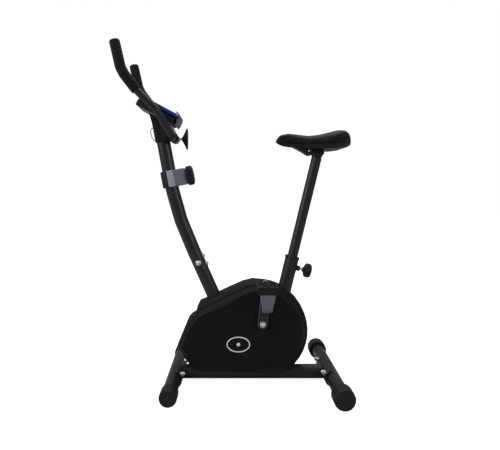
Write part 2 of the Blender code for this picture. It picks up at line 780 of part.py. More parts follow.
def make_handlebar():
    foam_start = Vector((-0.322, 0.130, 1.033))
    points = [
        Vector((CROSS.x, 0.062, CROSS.z)),
        Vector((-0.262, 0.112, 0.975)),
        foam_start,
        Vector((-0.366, 0.135, 1.090)),
        Vector((-0.378, 0.135, 1.113)),
        Vector((-0.399, 0.135, 1.204)),
    ]
    mirrored = [Vector((point.x, -point.y, point.z)) for point in points]
    path = rounded(mirrored[::-1] + points, 0.045, 3)
    finish(swept(path, BAR_R), "handlebar", "frame_paint", CROSS)
    for side, sign in (("left", -1.0), ("right", 1.0)):
        line = rounded([Vector((p.x, sign * p.y, p.z)) for p in points[1:]], 0.045, 3)
        start = max(number for number, point in enumerate(line) if point.z < foam_start.z + 0.004)
        line = line[start:]
        radii = [GRIP_R] * len(line)
        radii[0] = GRIP_R - 0.003
        tip = line[-1]
        line.insert(1, line[0].lerp(line[1], 0.35))
        radii.insert(1, GRIP_R)
        back = (line[-2] - tip).normalized()
        line = line[:-1] + [tip + back * 0.006, tip]
        radii = radii[:-1] + [GRIP_R, GRIP_R - 0.003]
        finish(swept(line, radii, BAR_R + GAP), f"grip_{side}", "foam", CROSS)

    middle = (CROSS.x, CROSS.z)
    cradle = arc(middle, BAR_R + GAP, 100, 260, 14) + arc(middle, 0.0165, 260, 100, 14)
    finish(prism(cradle, -0.024, 0.024), "clamp_cradle", "frame_paint")
    cap = arc(middle, BAR_R + GAP, 92, -92, 14) + arc(middle, CLAMP_CAP_R, -92, 92, 14)
    finish(prism(cap, -0.024, 0.024), "clamp_cap", "frame_paint")
    knob = [
        (0.0, -0.0102),
        (0.005, -0.0102),
        (0.005, 0.0),
        (0.0085, 0.0),
        (0.0105, 0.007),
        (0.018, 0.0115),
        (0.029, 0.0145),
        (0.0395, 0.0165),
        (0.0400, 0.0195),
        (0.037, 0.0215),
        (0.0, 0.0215),
    ]
    pivot = Vector((CROSS.x + CLAMP_KNOB_REACH, 0.0, CROSS.z - 0.001))
    wheel = lathe(knob, pivot, (1, 0, 0), 24)
    bmesh.ops.scale(wheel, vec=(1.0, CLAMP_KNOB_NARROW, 1.0), verts=wheel.verts)
    finish(wheel, "clamp_knob", "black_plastic", pivot)


def console_point(along, across, up):
    slope = Vector((math.cos(CONSOLE_TILT), 0.0, -math.sin(CONSOLE_TILT)))
    normal = Vector((math.sin(CONSOLE_TILT), 0.0, math.cos(CONSOLE_TILT)))
    return CONSOLE_MIDDLE + slope * along + Y_AXIS * across + normal * up


def slab(along, across, low, high, bevel=0.0, middle=(0.0, 0.0)):
    """A box lying in the console's own plane, from one height to another."""
    spot = console_point(middle[0], middle[1], (low + high) / 2)
    return box(spot, (along, across, high - low), CONSOLE_TILT, bevel)


def make_console():
    length, width = CONSOLE_SIZE
    finish(slab(length * 0.94, width * 0.94, -0.0215, 0.0050, 0.007), "console_back", "black_plastic")
    bezel = finish(slab(length, width, 0.0053, 0.0190, 0.005), "console_bezel", "blue_plastic")
    pockets = [slab(0.072, 0.092, 0.0160, 0.03, 0.0, DISPLAY_SPOT)]
    pockets += [slab(0.0152, 0.0232, 0.0140, 0.03, 0.0, spot) for spot in BUTTON_SPOTS]
    cut(bezel, pockets)
    finish(slab(0.0714, 0.0914, 0.0163, 0.0182, 0.0, DISPLAY_SPOT), "console_display", "display")
    for number, spot in enumerate(BUTTON_SPOTS):
        key = slab(0.0140, 0.0220, 0.0165, 0.0205, 0.001, spot)
        finish(key, f"console_button_{number + 1}", "grey_plastic", console_point(spot[0], spot[1], 0.0165))
    low = [tuple(console_point(a, -LEDGE_HALF, u)) for a, u in LEDGE_SECTION]
    high = [tuple(console_point(a, LEDGE_HALF, u)) for a, u in LEDGE_SECTION]
    finish(stacked([low, high]), "console_ledge", "grey_plastic")
    make_post_head()


def make_post_head():
    """The two halves that carry the console, standing on the post's end and meeting on its middle line."""
    top = Vector(POST_LINE[-1])
    axis = (top - Vector(POST_LINE[-2])).normalized()
    rearward = Vector((axis.z, 0.0, -axis.x))
    foot = top + axis * 2 * GAP
    under = -0.0220
    front = [
        foot - rearward * (TUBE_R + 0.0005),
        foot - rearward * (TUBE_R + 0.0010) + axis * 0.075,
        console_point(-0.026, 0.0, under),
        console_point(0.004 - GAP, 0.0, under),
        foot - rearward * GAP / 2 + axis * 0.052,
        foot - rearward * GAP / 2,
    ]
    rear = [
        foot + rearward * GAP / 2,
        foot + rearward * GAP / 2 + axis * 0.052,
        console_point(0.004 + GAP, 0.0, under),
        console_point(0.036, 0.0, under),
        Vector((-0.2260, 0.0, 0.918)),
        Vector((-0.2375, 0.0, 0.905)),
        Vector((-0.2340, 0.0, 0.890)),
        foot + rearward * (TUBE_R - 0.0015),
    ]
    for name, outline in (("front", front), ("rear", rear)):
        half = prism([(point.x, point.z) for point in outline], -POST_HEAD_HALF, POST_HEAD_HALF)
        finish(half, f"post_head_cover_{name}", "black_plastic")


def make_tension():
    rear = Vector((math.cos(TENSION_TILT), 0.0, math.sin(TENSION_TILT)))
    up = Vector((-math.sin(TENSION_TILT), 0.0, math.cos(TENSION_TILT)))
    outline = []
    for degrees in range(60, 301, 20):
        angle = math.radians(degrees)
        outline.append((0.0335 * math.cos(angle), 0.0335 * math.sin(angle)))
    outline += [
        (0.050, -0.025), (0.060, -0.022), (0.0615, -0.012),
        (0.0615, 0.012), (0.060, 0.022), (0.050, 0.025),
    ]
    rings = []
    for height, shrink in ((-0.030, 0.94), (-0.027, 1.0), (0.027, 1.0), (0.030, 0.94)):
        level = TENSION + up * height
        rings.append([tuple(level + rear * a * shrink + Y_AXIS * b * shrink) for a, b in outline])
    housing = finish(stacked(rings), "tension_housing", "silver_plastic")
    cut(
        housing,
        [
            rod(TENSION - up * 0.04, TENSION + up * 0.04, TUBE_R + 0.0006, 40, 0.05),
            rod(TENSION + rear * 0.02, TENSION + rear * 0.08, 0.0065, 20),
        ],
    )
    base = TENSION + rear * 0.0625
    knob = [
        (0.0, -0.042), (0.005, -0.042), (0.005, 0.0), (0.034, 0.0),
        (0.0355, 0.003), (0.035, 0.020), (0.031, 0.025), (0.0, 0.025),
    ]
    wheel = lathe(knob, base, rear, 28)
    finish(wheel, "tension_knob", "black_plastic", base)
    hole = SEAM - STUB_AXIS * CABLE_HOLE_DROP
    line = [
        Vector(POST_LINE[2]) + Vector((0.0, 0.0, 0.02)),
        Vector(POST_LINE[2]),
        Vector(POST_LINE[1]),
        Vector(POST_LINE[0]),
        SEAM,
        SEAM - STUB_AXIS * (CABLE_HOLE_DROP - 0.015),
        hole + Vector((-0.012, 0.0, -0.010)),
        hole + Vector((-0.040, 0.0, -0.018)),
    ]
    finish(swept(rounded(line, 0.03, 2), CABLE_R, 0.0, 6), "tension_cable", "cable_jacket")
    finish(swept(rounded(WIRE_LOOP, 0.012, 2), WIRE_R, 0.0, 6), "signal_wire", "cable_jacket")


def make_seat():
    bottom = on_seat_axis(SEAT_POST_BOTTOM)
    top = on_seat_axis(SEAT_POST_TOP)
    post = ring_tube(bottom, top, SEAT_POST_R, SEAT_POST_INNER_R)
    seat_post = finish(post, "seat_post", "frame_paint", SEAT_POINT)
    holes = []
    for number in range(-HOLES_EACH_WAY, HOLES_EACH_WAY + 1):
        spot = on_seat_axis(-PIN_DROP + HOLE_PITCH * number)
        holes.append(rod(spot + SEAT_REAR * 0.008, spot + SEAT_REAR * 0.03, 0.0045, 12))
    cut(seat_post, [rod(*along_y(SADDLE_PIVOT, -ROCKER_HALF, ROCKER_HALF), ROCKER_R, 24)], "UNION")
    cut(seat_post, holes)

    pin = on_seat_axis(-PIN_DROP)
    knob = [
        (0.0, 0.0192), (0.004, 0.0192), (0.0055, 0.022), (0.0055, 0.0465),
        (0.009, 0.0465), (0.009, 0.051), (0.020, 0.053), (0.026, 0.057),
        (0.026, 0.074), (0.022, 0.079), (0.0, 0.079),
    ]
    wheel = lathe(knob, pin, SEAT_REAR, 24)
    finish(wheel, "seat_knob", "black_plastic", pin + SEAT_REAR * SEAT_KNOB_REACH)

    x, z = SADDLE_PIVOT.x, SADDLE_PIVOT.z
    clamp = [
        (x - 0.0205, z + 0.004),
        (x - 0.0205, z + 0.010),
        (x - 0.016, CLAMP_TOP_Z),
        (x + 0.018, CLAMP_TOP_Z),
        (x + 0.021, z + 0.010),
        (x + 0.021, z + 0.004),
    ]
    clamp += arc((x, z), CHEEK_R, -10, -170, 12)
    bracket = finish(prism(clamp, -CHEEK_OUTER, CHEEK_OUTER), "saddle_clamp", "black_plastic", SADDLE_PIVOT)
    slot = [(x - 0.04, z - 0.03), (x + 0.04, z - 0.03), (x + 0.04, z - 0.0015), (x - 0.04, z - 0.0015)]
    cut(
        bracket,
        [
            prism(slot, -CHEEK_INNER, CHEEK_INNER),
            rod(*along_y(SADDLE_PIVOT, -CHEEK_INNER, CHEEK_INNER), ROCKER_R + 0.0004, 24),
        ],
    )


def make_saddle():
    rings = []
    for x, high, low, width in SADDLE_SECTIONS:
        ring = []
        for degrees in range(0, 360, 20):
            angle = math.radians(degrees)
            across = math.copysign(abs(math.cos(angle)) ** 0.75, math.cos(angle))
            upward = math.copysign(abs(math.sin(angle)) ** 0.75, math.sin(angle))
            ring.append((x, width * across, (high + low) / 2 + (high - low) / 2 * upward))
        rings.append(ring)
    finish(stacked(rings), "saddle", "saddle_skin", SADDLE_PIVOT)
    rings = []
    for x, top, low, width in PAN_SECTIONS:
        base = width * PAN_BASE_SHARE
        rings.append([(x, -width, top), (x, width, top), (x, base, low), (x, -base, low)])
    pan = finish(stacked(rings), "saddle_pan", "black_plastic", SADDLE_PIVOT)
    cut(pan, [prism(KEEL, -KEEL_HALF, KEEL_HALF)], "UNION")


def main():
    start_clean()
    make_base()
    make_tubes()
    make_bottom_bracket()
    make_crank()
    make_flywheel()
    make_cover("left", -1.0)
    make_cover("right", 1.0)
    make_handlebar()
    make_console()
    make_tension()
    make_seat()
    make_saddle()


main()
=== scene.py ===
"""Looks for a compact upright exercise bike: every visible piece, its materials and a plain stage."""

import math

import bmesh
import bpy
from mathutils import Matrix, Vector


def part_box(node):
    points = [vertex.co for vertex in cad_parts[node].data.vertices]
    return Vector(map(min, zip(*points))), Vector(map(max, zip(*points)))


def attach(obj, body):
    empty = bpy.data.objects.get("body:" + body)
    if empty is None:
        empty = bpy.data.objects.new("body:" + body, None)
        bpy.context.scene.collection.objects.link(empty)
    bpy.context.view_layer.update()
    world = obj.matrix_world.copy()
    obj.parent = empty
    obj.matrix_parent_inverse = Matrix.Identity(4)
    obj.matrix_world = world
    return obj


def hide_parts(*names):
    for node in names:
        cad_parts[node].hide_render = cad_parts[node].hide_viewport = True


bl_info = {
    "name": "Exercise Bike",
    "version": (1, 0, 0),
    "blender": (4, 5, 0),
    "location": "View3D > Sidebar > Exercise Bike",
    "description": "Builds the finished pieces of an upright exercise bike over its measured frame",
    "category": "Add Mesh",
}

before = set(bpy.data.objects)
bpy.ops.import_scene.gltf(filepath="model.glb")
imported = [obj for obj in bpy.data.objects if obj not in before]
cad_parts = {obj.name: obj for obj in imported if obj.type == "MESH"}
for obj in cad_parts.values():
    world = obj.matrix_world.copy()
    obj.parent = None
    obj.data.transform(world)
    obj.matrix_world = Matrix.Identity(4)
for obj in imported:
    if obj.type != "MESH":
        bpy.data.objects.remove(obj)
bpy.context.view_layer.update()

# The frame's middle lies this far behind the point that the bike's own sizes are measured from.
MIDDLE_X = 0.0073


def at(x, y, z):
    return Vector((x - MIDDLE_X, y, z))


STUB_LEAN = math.radians(24.2)
SEAT_LEAN = math.radians(13.8)
POST_LEAN = math.radians(10.7)
SEAM = at(-0.1111, 0.0, 0.403)
STUB_AXIS = Vector((-math.sin(STUB_LEAN), 0.0, math.cos(STUB_LEAN)))
SEAT_POINT = at(0.22023, 0.0, 0.44620)
SEAT_AXIS = Vector((math.sin(SEAT_LEAN), 0.0, math.cos(SEAT_LEAN)))
SEAT_REAR = Vector((math.cos(SEAT_LEAN), 0.0, -math.sin(SEAT_LEAN)))
CRANK = at(0.106, 0.0, 0.229)
CROSS = at(-0.215, 0.0, 0.889)
TENSION = at(-0.2297, 0.0, 0.7400)
TENSION_REAR = Vector((math.cos(POST_LEAN), 0.0, math.sin(POST_LEAN)))
TENSION_UP = Vector((-math.sin(POST_LEAN), 0.0, math.cos(POST_LEAN)))
CONSOLE_MIDDLE = at(-0.2724, 0.0, 0.9883)
CONSOLE_TILT = math.radians(28.0)
CONSOLE_SLOPE = Vector((math.cos(CONSOLE_TILT), 0.0, -math.sin(CONSOLE_TILT)))
CONSOLE_NORMAL = Vector((math.sin(CONSOLE_TILT), 0.0, math.cos(CONSOLE_TILT)))
Y_AXIS = Vector((0.0, 1.0, 0.0))
X_AXIS = Vector((1.0, 0.0, 0.0))
SIDES = (("left", -1.0), ("right", 1.0))

WELD = 0.00003
POST_LINE = [
    SEAM + STUB_AXIS * 0.0006, at(-0.1444, 0.0, 0.477), at(-0.1907, 0.0, 0.5885), at(-0.2222, 0.0, 0.700),
    at(-0.2555, 0.0, 0.8765),
]
POST_WALL = 0.0022
CAP_RIM = 0.004
CAP_DISH = 0.0012
NUT_LEAN = math.radians(25.0)
NUT_SPREAD = 0.056
NUT_RISE = 0.0304
BOLT_RISE = 0.0249
CRANK_NUT_Y = 0.0862
SCREW_SPOTS = ((0.218, 0.250), (-0.098, 0.240), (-0.140, 0.118), (0.186, 0.088))
MARK_SPOT = (0.021, 0.150)
MARK_SIZE = (0.040, 0.026)
CRANK_LEAN = math.radians(4.0)
CRANK_LENGTH = 0.141
PEDAL_Y = 0.145
CLAMP_PIVOT = at(-0.1867, 0.0, 0.888)
CLAMP_KNOB_NARROW = 0.42
SIGNAL_LINE = [
    at(-0.2948, 0.0, 0.9300), at(-0.3010, -0.004, 0.9250), at(-0.3025, -0.006, 0.9110),
    at(-0.2975, -0.004, 0.8930), at(-0.2860, 0.0, 0.8790),
]
SIGNAL_RADIUS = 0.0015
SCREEN_ALONG = -0.022
KEY_ALONG = 0.044
KEY_PITCH = 0.034
TENSION_TILT = POST_LEAN
TENSION_KNOB_OUT = 0.0625
SEAT_KNOB_PIN = SEAT_POINT - SEAT_AXIS * 0.030
SADDLE_PIVOT = SEAT_POINT + SEAT_AXIS * 0.3935
SEAT_FLUTES = 8


# ---------------------------------------------------------------- settings


class FrameSettings(bpy.types.PropertyGroup):
    tube_radius: bpy.props.FloatProperty(
        name="Tube radius", description="Outside radius of the frame tubes", default=0.025, unit="LENGTH"
    )
    paint: bpy.props.FloatVectorProperty(
        name="Paint", description="Colour of the frame paint", subtype="COLOR",
        default=(0.0066, 0.0078, 0.0074),
    )
    zinc: bpy.props.FloatVectorProperty(
        name="Zinc", description="Colour of the plated fasteners", subtype="COLOR",
        default=(0.66, 0.67, 0.68),
    )


class CoverSettings(bpy.types.PropertyGroup):
    plastic: bpy.props.FloatVectorProperty(
        name="Cover plastic", description="Colour of the drive cover", subtype="COLOR",
        default=(0.0084, 0.0084, 0.0096),
    )
    half_width: bpy.props.FloatProperty(
        name="Half width", description="Distance from the middle to the cover's side face", default=0.062,
        unit="LENGTH",
    )
    mark: bpy.props.FloatVectorProperty(
        name="Mark", description="Colour of the printed ring", subtype="COLOR", default=(0.80, 0.81, 0.82)
    )


class ControlSettings(bpy.types.PropertyGroup):
    bar_radius: bpy.props.FloatProperty(
        name="Bar radius", description="Outside radius of the handlebar", default=0.013, unit="LENGTH"
    )
    grip_radius: bpy.props.FloatProperty(
        name="Grip radius", description="Outside radius of the foam grips", default=0.0182, unit="LENGTH"
    )
    bezel: bpy.props.FloatVectorProperty(
        name="Console blue", description="Colour of the console's face", subtype="COLOR",
        default=(0.008, 0.035, 0.36),
    )
    housing: bpy.props.FloatVectorProperty(
        name="Housing", description="Colour of the tension housing", subtype="COLOR",
        default=(0.30, 0.33, 0.40),
    )
    foam: bpy.props.FloatVectorProperty(
        name="Foam", description="Colour of the grips", subtype="COLOR", default=(0.0085, 0.0085, 0.0072)
    )


class SeatSettings(bpy.types.PropertyGroup):
    skin: bpy.props.FloatVectorProperty(
        name="Saddle skin", description="Colour of the saddle's skin", subtype="COLOR",
        default=(0.0070, 0.0070, 0.0064),
    )
    swell: bpy.props.FloatProperty(
        name="Swell", description="How far the padding may swell", default=0.005, unit="LENGTH"
    )


class DriveSettings(bpy.types.PropertyGroup):
    strap: bpy.props.FloatVectorProperty(
        name="Strap", description="Colour of the pedal straps", subtype="COLOR",
        default=(0.118, 0.128, 0.172),
    )
    # This colour lights the crank arms' sides and bevels as a painted edge highlight.
    steel: bpy.props.FloatVectorProperty(
        name="Crank steel", description="Colour of the crank arms", subtype="COLOR",
        default=(0.42, 0.40, 0.37),
    )


# ---------------------------------------------------------------- shader groups


def new_group(name, inputs, outputs):
    group = bpy.data.node_groups.new(name, "ShaderNodeTree")
    for label, kind, value in inputs:
        socket = group.interface.new_socket(label, in_out="INPUT", socket_type=kind)
        socket.default_value = value
    for label, kind in outputs:
        group.interface.new_socket(label, in_out="OUTPUT", socket_type=kind)
    nodes = group.nodes
    return group, nodes.new("NodeGroupInput"), nodes.new("NodeGroupOutput")


def math_node(tree, operation, first, second=None, clamp=False):
    node = tree.nodes.new("ShaderNodeMath")
    node.operation = operation
    node.use_clamp = clamp
    for socket, value in zip(node.inputs, (first, second)):
        if value is None:
            continue
        if isinstance(value, bpy.types.NodeSocket):
            tree.links.new(value, socket)
        else:
            socket.default_value = value
    return node.outputs[0]


def ramp(tree, value, low, high):
    """Takes a value from low..high to 0..1."""
    node = tree.nodes.new("ShaderNodeMapRange")
    tree.links.new(value, node.inputs["Value"])
    node.inputs["From Min"].default_value = low
    node.inputs["From Max"].default_value = high
    return node.outputs["Result"]


def noise(tree, scale, detail=4.0, roughness=0.55, stretch=None):
    place = tree.nodes.new("ShaderNodeTexCoord")
    node = tree.nodes.new("ShaderNodeTexNoise")
    if isinstance(scale, bpy.types.NodeSocket):
        tree.links.new(scale, node.inputs["Scale"])
    else:
        node.inputs["Scale"].default_value = scale
    node.inputs["Detail"].default_value = detail
    node.inputs["Roughness"].default_value = roughness
    source = place.outputs["Object"]
    if stretch:
        mapping = tree.nodes.new("ShaderNodeMapping")
        mapping.inputs["Scale"].default_value = stretch
        tree.links.new(source, mapping.inputs["Vector"])
        source = mapping.outputs["Vector"]
    tree.links.new(source, node.inputs["Vector"])
    return node.outputs["Fac"]


def rubbed_and_lit_edges_group():
    """Mask that is 1 on rubbed edges and 0 elsewhere; where a finish lightens these edges strongly, the
    lighter edge is a painted highlight.
    """
    inputs = [("Width", "NodeSocketFloat", 0.0015), ("Amount", "NodeSocketFloat", 0.6)]
    group, source, target = new_group("rubbed_and_lit_edges", inputs, [("Mask", "NodeSocketFloat")])
    bevel = group.nodes.new("ShaderNodeBevel")
    bevel.samples = 4
    group.links.new(source.outputs["Width"], bevel.inputs["Radius"])
    geometry = group.nodes.new("ShaderNodeNewGeometry")
    dot = group.nodes.new("ShaderNodeVectorMath")
    dot.operation = "DOT_PRODUCT"
    group.links.new(bevel.outputs["Normal"], dot.inputs[0])
    group.links.new(geometry.outputs["Normal"], dot.inputs[1])
    bent = math_node(group, "SUBTRACT", 1.0, dot.outputs["Value"], True)
    edge = ramp(group, bent, 0.01, 0.16)
    patchy = ramp(group, noise(group, 160.0, 5.0, 0.65), 0.42, 0.62)
    mask = math_node(group, "MULTIPLY", edge, patchy, True)
    group.links.new(
        math_node(group, "MULTIPLY", mask, source.outputs["Amount"], True), target.inputs["Mask"],
    )
    return group


def fine_grain_group():
    """Even moulded or sprayed grain, as a height, with a slow mottling as a second value."""
    inputs = [("Scale", "NodeSocketFloat", 900.0)]
    outputs = [("Height", "NodeSocketFloat"), ("Mottle", "NodeSocketFloat")]
    group, source, target = new_group("fine_grain", inputs, outputs)
    group.links.new(noise(group, source.outputs["Scale"], 3.0, 0.6), target.inputs["Height"])
    group.links.new(ramp(group, noise(group, 9.0, 3.0, 0.5), 0.3, 0.7), target.inputs["Mottle"])
    return group


def dust_group():
    """Thin dust that settles on faces that look up."""
    inputs = [("Amount", "NodeSocketFloat", 0.15)]
    group, source, target = new_group("settled_dust", inputs, [("Mask", "NodeSocketFloat")])
    geometry = group.nodes.new("ShaderNodeNewGeometry")
    parts = group.nodes.new("ShaderNodeSeparateXYZ")
    group.links.new(geometry.outputs["Normal"], parts.inputs[0])
    upward = ramp(group, parts.outputs["Z"], 0.35, 1.0)
    cloudy = ramp(group, noise(group, 38.0, 6.0, 0.7), 0.4, 0.75)
    mask = math_node(group, "MULTIPLY", upward, cloudy, True)
    group.links.new(
        math_node(group, "MULTIPLY", mask, source.outputs["Amount"], True), target.inputs["Mask"],
    )
    return group


def leather_group():
    """Pebbled skin: cells with creases between them, as a height."""
    inputs = [("Scale", "NodeSocketFloat", 420.0)]
    group, source, target = new_group("pebbled_skin", inputs, [("Height", "NodeSocketFloat")])
    place = group.nodes.new("ShaderNodeTexCoord")
    cells = group.nodes.new("ShaderNodeTexVoronoi")
    cells.feature = "SMOOTH_F1"
    cells.inputs["Smoothness"].default_value = 0.6
    group.links.new(source.outputs["Scale"], cells.inputs["Scale"])
    group.links.new(place.outputs["Object"], cells.inputs["Vector"])
    creases = noise(group, 90.0, 6.0, 0.6)
    total = math_node(group, "ADD", cells.outputs["Distance"], math_node(group, "MULTIPLY", creases, 0.5))
    group.links.new(total, target.inputs["Height"])
    return group


GROUPS = {}
SURFACES = {}


def group_node(tree, name, **values):
    makers = {
        "rubbed_and_lit_edges": rubbed_and_lit_edges_group, "fine_grain": fine_grain_group, "settled_dust": dust_group,
        "pebbled_skin": leather_group,
    }
    if name not in GROUPS:
        GROUPS[name] = makers[name]()
    node = tree.nodes.new("ShaderNodeGroup")
    node.node_tree = GROUPS[name]
    for label, value in values.items():
        node.inputs[label.replace("_", " ").capitalize()].default_value = value
    return node


def mix_colour(tree, mask, first, second):
    node = tree.nodes.new("ShaderNodeMix")
    node.data_type = "RGBA"
    tree.links.new(mask, node.inputs["Factor"])
    for socket, value in ((node.inputs[6], first), (node.inputs[7], second)):
        if isinstance(value, bpy.types.NodeSocket):
            tree.links.new(value, socket)
        else:
            socket.default_value = (*value, 1.0)
    return node.outputs[2]


def surface(
    name, colour, rough, metal=0.0, grain=900.0, bump=0.05, rub_and_highlight=0.3, rubbed_and_lit_colour=None, dust=0.04, mottle=0.12,
    height=None, coat=0.0, sheen=0.0, specular=0.35,
):
    """One finished material: colour with slow mottling, rubbed edges that some finishes lighten as a painted
    highlight, dust and its own grain.
    """
    if name in SURFACES:
        return SURFACES[name]
    made = bpy.data.materials.new(f"{name}_finish")
    SURFACES[name] = made
    made.use_nodes = True
    tree = made.node_tree
    shader = tree.nodes["Principled BSDF"]
    colour = tuple(colour)
    grain_node = group_node(tree, "fine_grain", scale=grain)
    deep = tuple(channel * (1.0 - mottle) for channel in colour)
    lifted = tuple(min(channel * (1.0 + mottle), 1.0) for channel in colour)
    base = mix_colour(tree, grain_node.outputs["Mottle"], deep, lifted)
    # Edges get the lighter edge colour: rubbed wear, and on the cover and crank arms a painted highlight.
    edge = group_node(tree, "rubbed_and_lit_edges", width=0.0012, amount=rub_and_highlight)
    rubbed_and_lit_colour = rubbed_and_lit_colour or tuple(min(channel * 2.6 + 0.03, 1.0) for channel in colour)
    base = mix_colour(tree, edge.outputs["Mask"], base, rubbed_and_lit_colour)
    settled = group_node(tree, "settled_dust", amount=dust)
    base = mix_colour(tree, settled.outputs["Mask"], base, (0.30, 0.29, 0.27))
    tree.links.new(base, shader.inputs["Base Color"])
    spread = math_node(tree, "MULTIPLY", grain_node.outputs["Mottle"], 0.10)
    roughness = math_node(tree, "ADD", spread, rough - 0.05)
    roughness = math_node(
        tree, "ADD", roughness, math_node(tree, "MULTIPLY", settled.outputs["Mask"], 0.3), True,
    )
    tree.links.new(roughness, shader.inputs["Roughness"])
    shader.inputs["Metallic"].default_value = metal
    shader.inputs["Specular IOR Level"].default_value = specular
    shader.inputs["Coat Weight"].default_value = coat
    shader.inputs["Coat Roughness"].default_value = 0.2
    shader.inputs["Sheen Weight"].default_value = sheen
    relief = tree.nodes.new("ShaderNodeBump")
    relief.inputs["Strength"].default_value = bump
    relief.inputs["Distance"].default_value = 0.001
    if height == "pebbled":
        skin = group_node(tree, "pebbled_skin", scale=430.0)
        tree.links.new(skin.outputs["Height"], relief.inputs["Height"])
    else:
        tree.links.new(grain_node.outputs["Height"], relief.inputs["Height"])
    tree.links.new(relief.outputs["Normal"], shader.inputs["Normal"])
    return made


def finishes():
    """The finish of each of the record's slots."""
    scene = bpy.context.scene
    seat, drive, control = scene.bike_seat, scene.bike_drive, scene.bike_control
    return {
        "frame_paint": dict(
            name="satin_black_paint", colour=scene.bike_frame.paint, rough=0.42, grain=700.0, bump=0.04,
            rub_and_highlight=0.35, rubbed_and_lit_colour=(0.06, 0.066, 0.066), coat=0.12,
        ),
        # The drive cover's edges are lightened strongly: a painted highlight along the ridges of its stepped
        # rim.
        "cover_plastic": dict(
            name="cover_plastic", colour=scene.bike_cover.plastic, rough=0.5, grain=1300.0, bump=0.14,
            rub_and_highlight=0.85, rubbed_and_lit_colour=(0.085, 0.085, 0.09), dust=0.006, specular=0.09,
        ),
        "black_plastic": dict(
            name="black_plastic", colour=(0.0105, 0.0105, 0.0108), rough=0.46, grain=1200.0, bump=0.12,
            specular=0.2, dust=0.015, rub_and_highlight=0.3, rubbed_and_lit_colour=(0.06, 0.06, 0.065),
        ),
        "foam": dict(
            name="grip_foam", colour=control.foam, rough=0.92, grain=1500.0, bump=0.45, rub_and_highlight=0.1,
            mottle=0.2, sheen=0.06, specular=0.15, dust=0.01,
        ),
        "saddle_skin": dict(
            name="saddle_skin", colour=seat.skin, rough=0.52, bump=0.3, rub_and_highlight=0.1, height="pebbled",
            mottle=0.2, rubbed_and_lit_colour=(0.02, 0.02, 0.019), dust=0.01, specular=0.15,
        ),
        "zinc": dict(
            name="zinc_plate", colour=scene.bike_frame.zinc, rough=0.26, metal=1.0, grain=500.0, bump=0.05,
            rub_and_highlight=0.3, rubbed_and_lit_colour=(0.42, 0.41, 0.38),
        ),
        # The crank arms' bright steel sides and strongly lightened edges are a painted highlight; their flat
        # faces get a dark finish, a painted dark reflection.
        "crank_steel": dict(
            name="crank_steel", colour=drive.steel, rough=0.34, metal=1.0, grain=650.0, bump=0.08, rub_and_highlight=0.9,
            rubbed_and_lit_colour=(0.55, 0.54, 0.52),
        ),
        "strap_rubber": dict(
            name="strap_rubber", colour=drive.strap, rough=0.6, grain=1100.0, bump=0.1, rub_and_highlight=0.2,
            mottle=0.1,
        ),
        "blue_plastic": dict(
            name="console_blue", colour=control.bezel, rough=0.32, grain=1200.0, bump=0.05, rub_and_highlight=0.2,
            dust=0.06, rubbed_and_lit_colour=(0.10, 0.16, 0.5),
        ),
        "grey_plastic": dict(
            name="light_grey_plastic", colour=(0.30, 0.32, 0.36), rough=0.42, grain=1200.0, bump=0.08,
            rub_and_highlight=0.2,
        ),
        "silver_plastic": dict(
            name="housing_silver", colour=control.housing, rough=0.36, grain=1000.0, bump=0.05, rub_and_highlight=0.25,
            coat=0.2,
        ),
        "display": dict(
            name="display_lens", colour=(0.20, 0.24, 0.20), rough=0.12, grain=400.0, bump=0.0, rub_and_highlight=0.0,
            dust=0.05, coat=0.6,
        ),
        "belt_rubber": dict(
            name="belt_rubber", colour=(0.015, 0.015, 0.015), rough=0.75, grain=1100.0, bump=0.2, rub_and_highlight=0.2,
        ),
        "iron": dict(
            name="flywheel_iron", colour=(0.20, 0.20, 0.20), rough=0.45, metal=1.0, grain=300.0, bump=0.1,
            rub_and_highlight=0.5, rubbed_and_lit_colour=(0.5, 0.5, 0.5),
        ),
        "alloy": dict(
            name="cast_alloy", colour=(0.55, 0.56, 0.58), rough=0.42, metal=1.0, grain=450.0, bump=0.15,
            rub_and_highlight=0.3,
        ),
        "cable_jacket": dict(
            name="cable_jacket", colour=(0.32, 0.33, 0.34), rough=0.5, grain=900.0, bump=0.08, rub_and_highlight=0.1,
        ),
    }


def finish_for(slot):
    """The material of one slot."""
    return surface(**finishes()[slot])


# ---------------------------------------------------------------- modelling helpers


def deselect():
    if bpy.context.object and bpy.context.object.mode != "OBJECT":
        bpy.ops.object.mode_set(mode="OBJECT")
    bpy.ops.object.select_all(action="DESELECT")


def activate(piece):
    deselect()
    piece.select_set(True)
    bpy.context.view_layer.objects.active = piece


def settle(piece, name, slot, body, smooth=35.0):
    """Names a finished piece, puts its place into its mesh, gives it its finish and the body it rides on."""
    activate(piece)
    bpy.ops.object.transform_apply(location=True, rotation=True, scale=True)
    piece.name = name
    piece.data.name = name
    piece.data.materials.clear()
    piece.data.materials.append(finish_for(slot))
    bpy.ops.object.shade_smooth_by_angle(angle=math.radians(smooth))
    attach(piece, body)
    return piece


def merge_up(distance=0.00002):
    """In edit mode: joins doubled points and turns the faces outwards."""
    bpy.ops.mesh.select_all(action="SELECT")
    bpy.ops.mesh.remove_doubles(threshold=distance)
    bpy.ops.mesh.normals_make_consistent(inside=False)


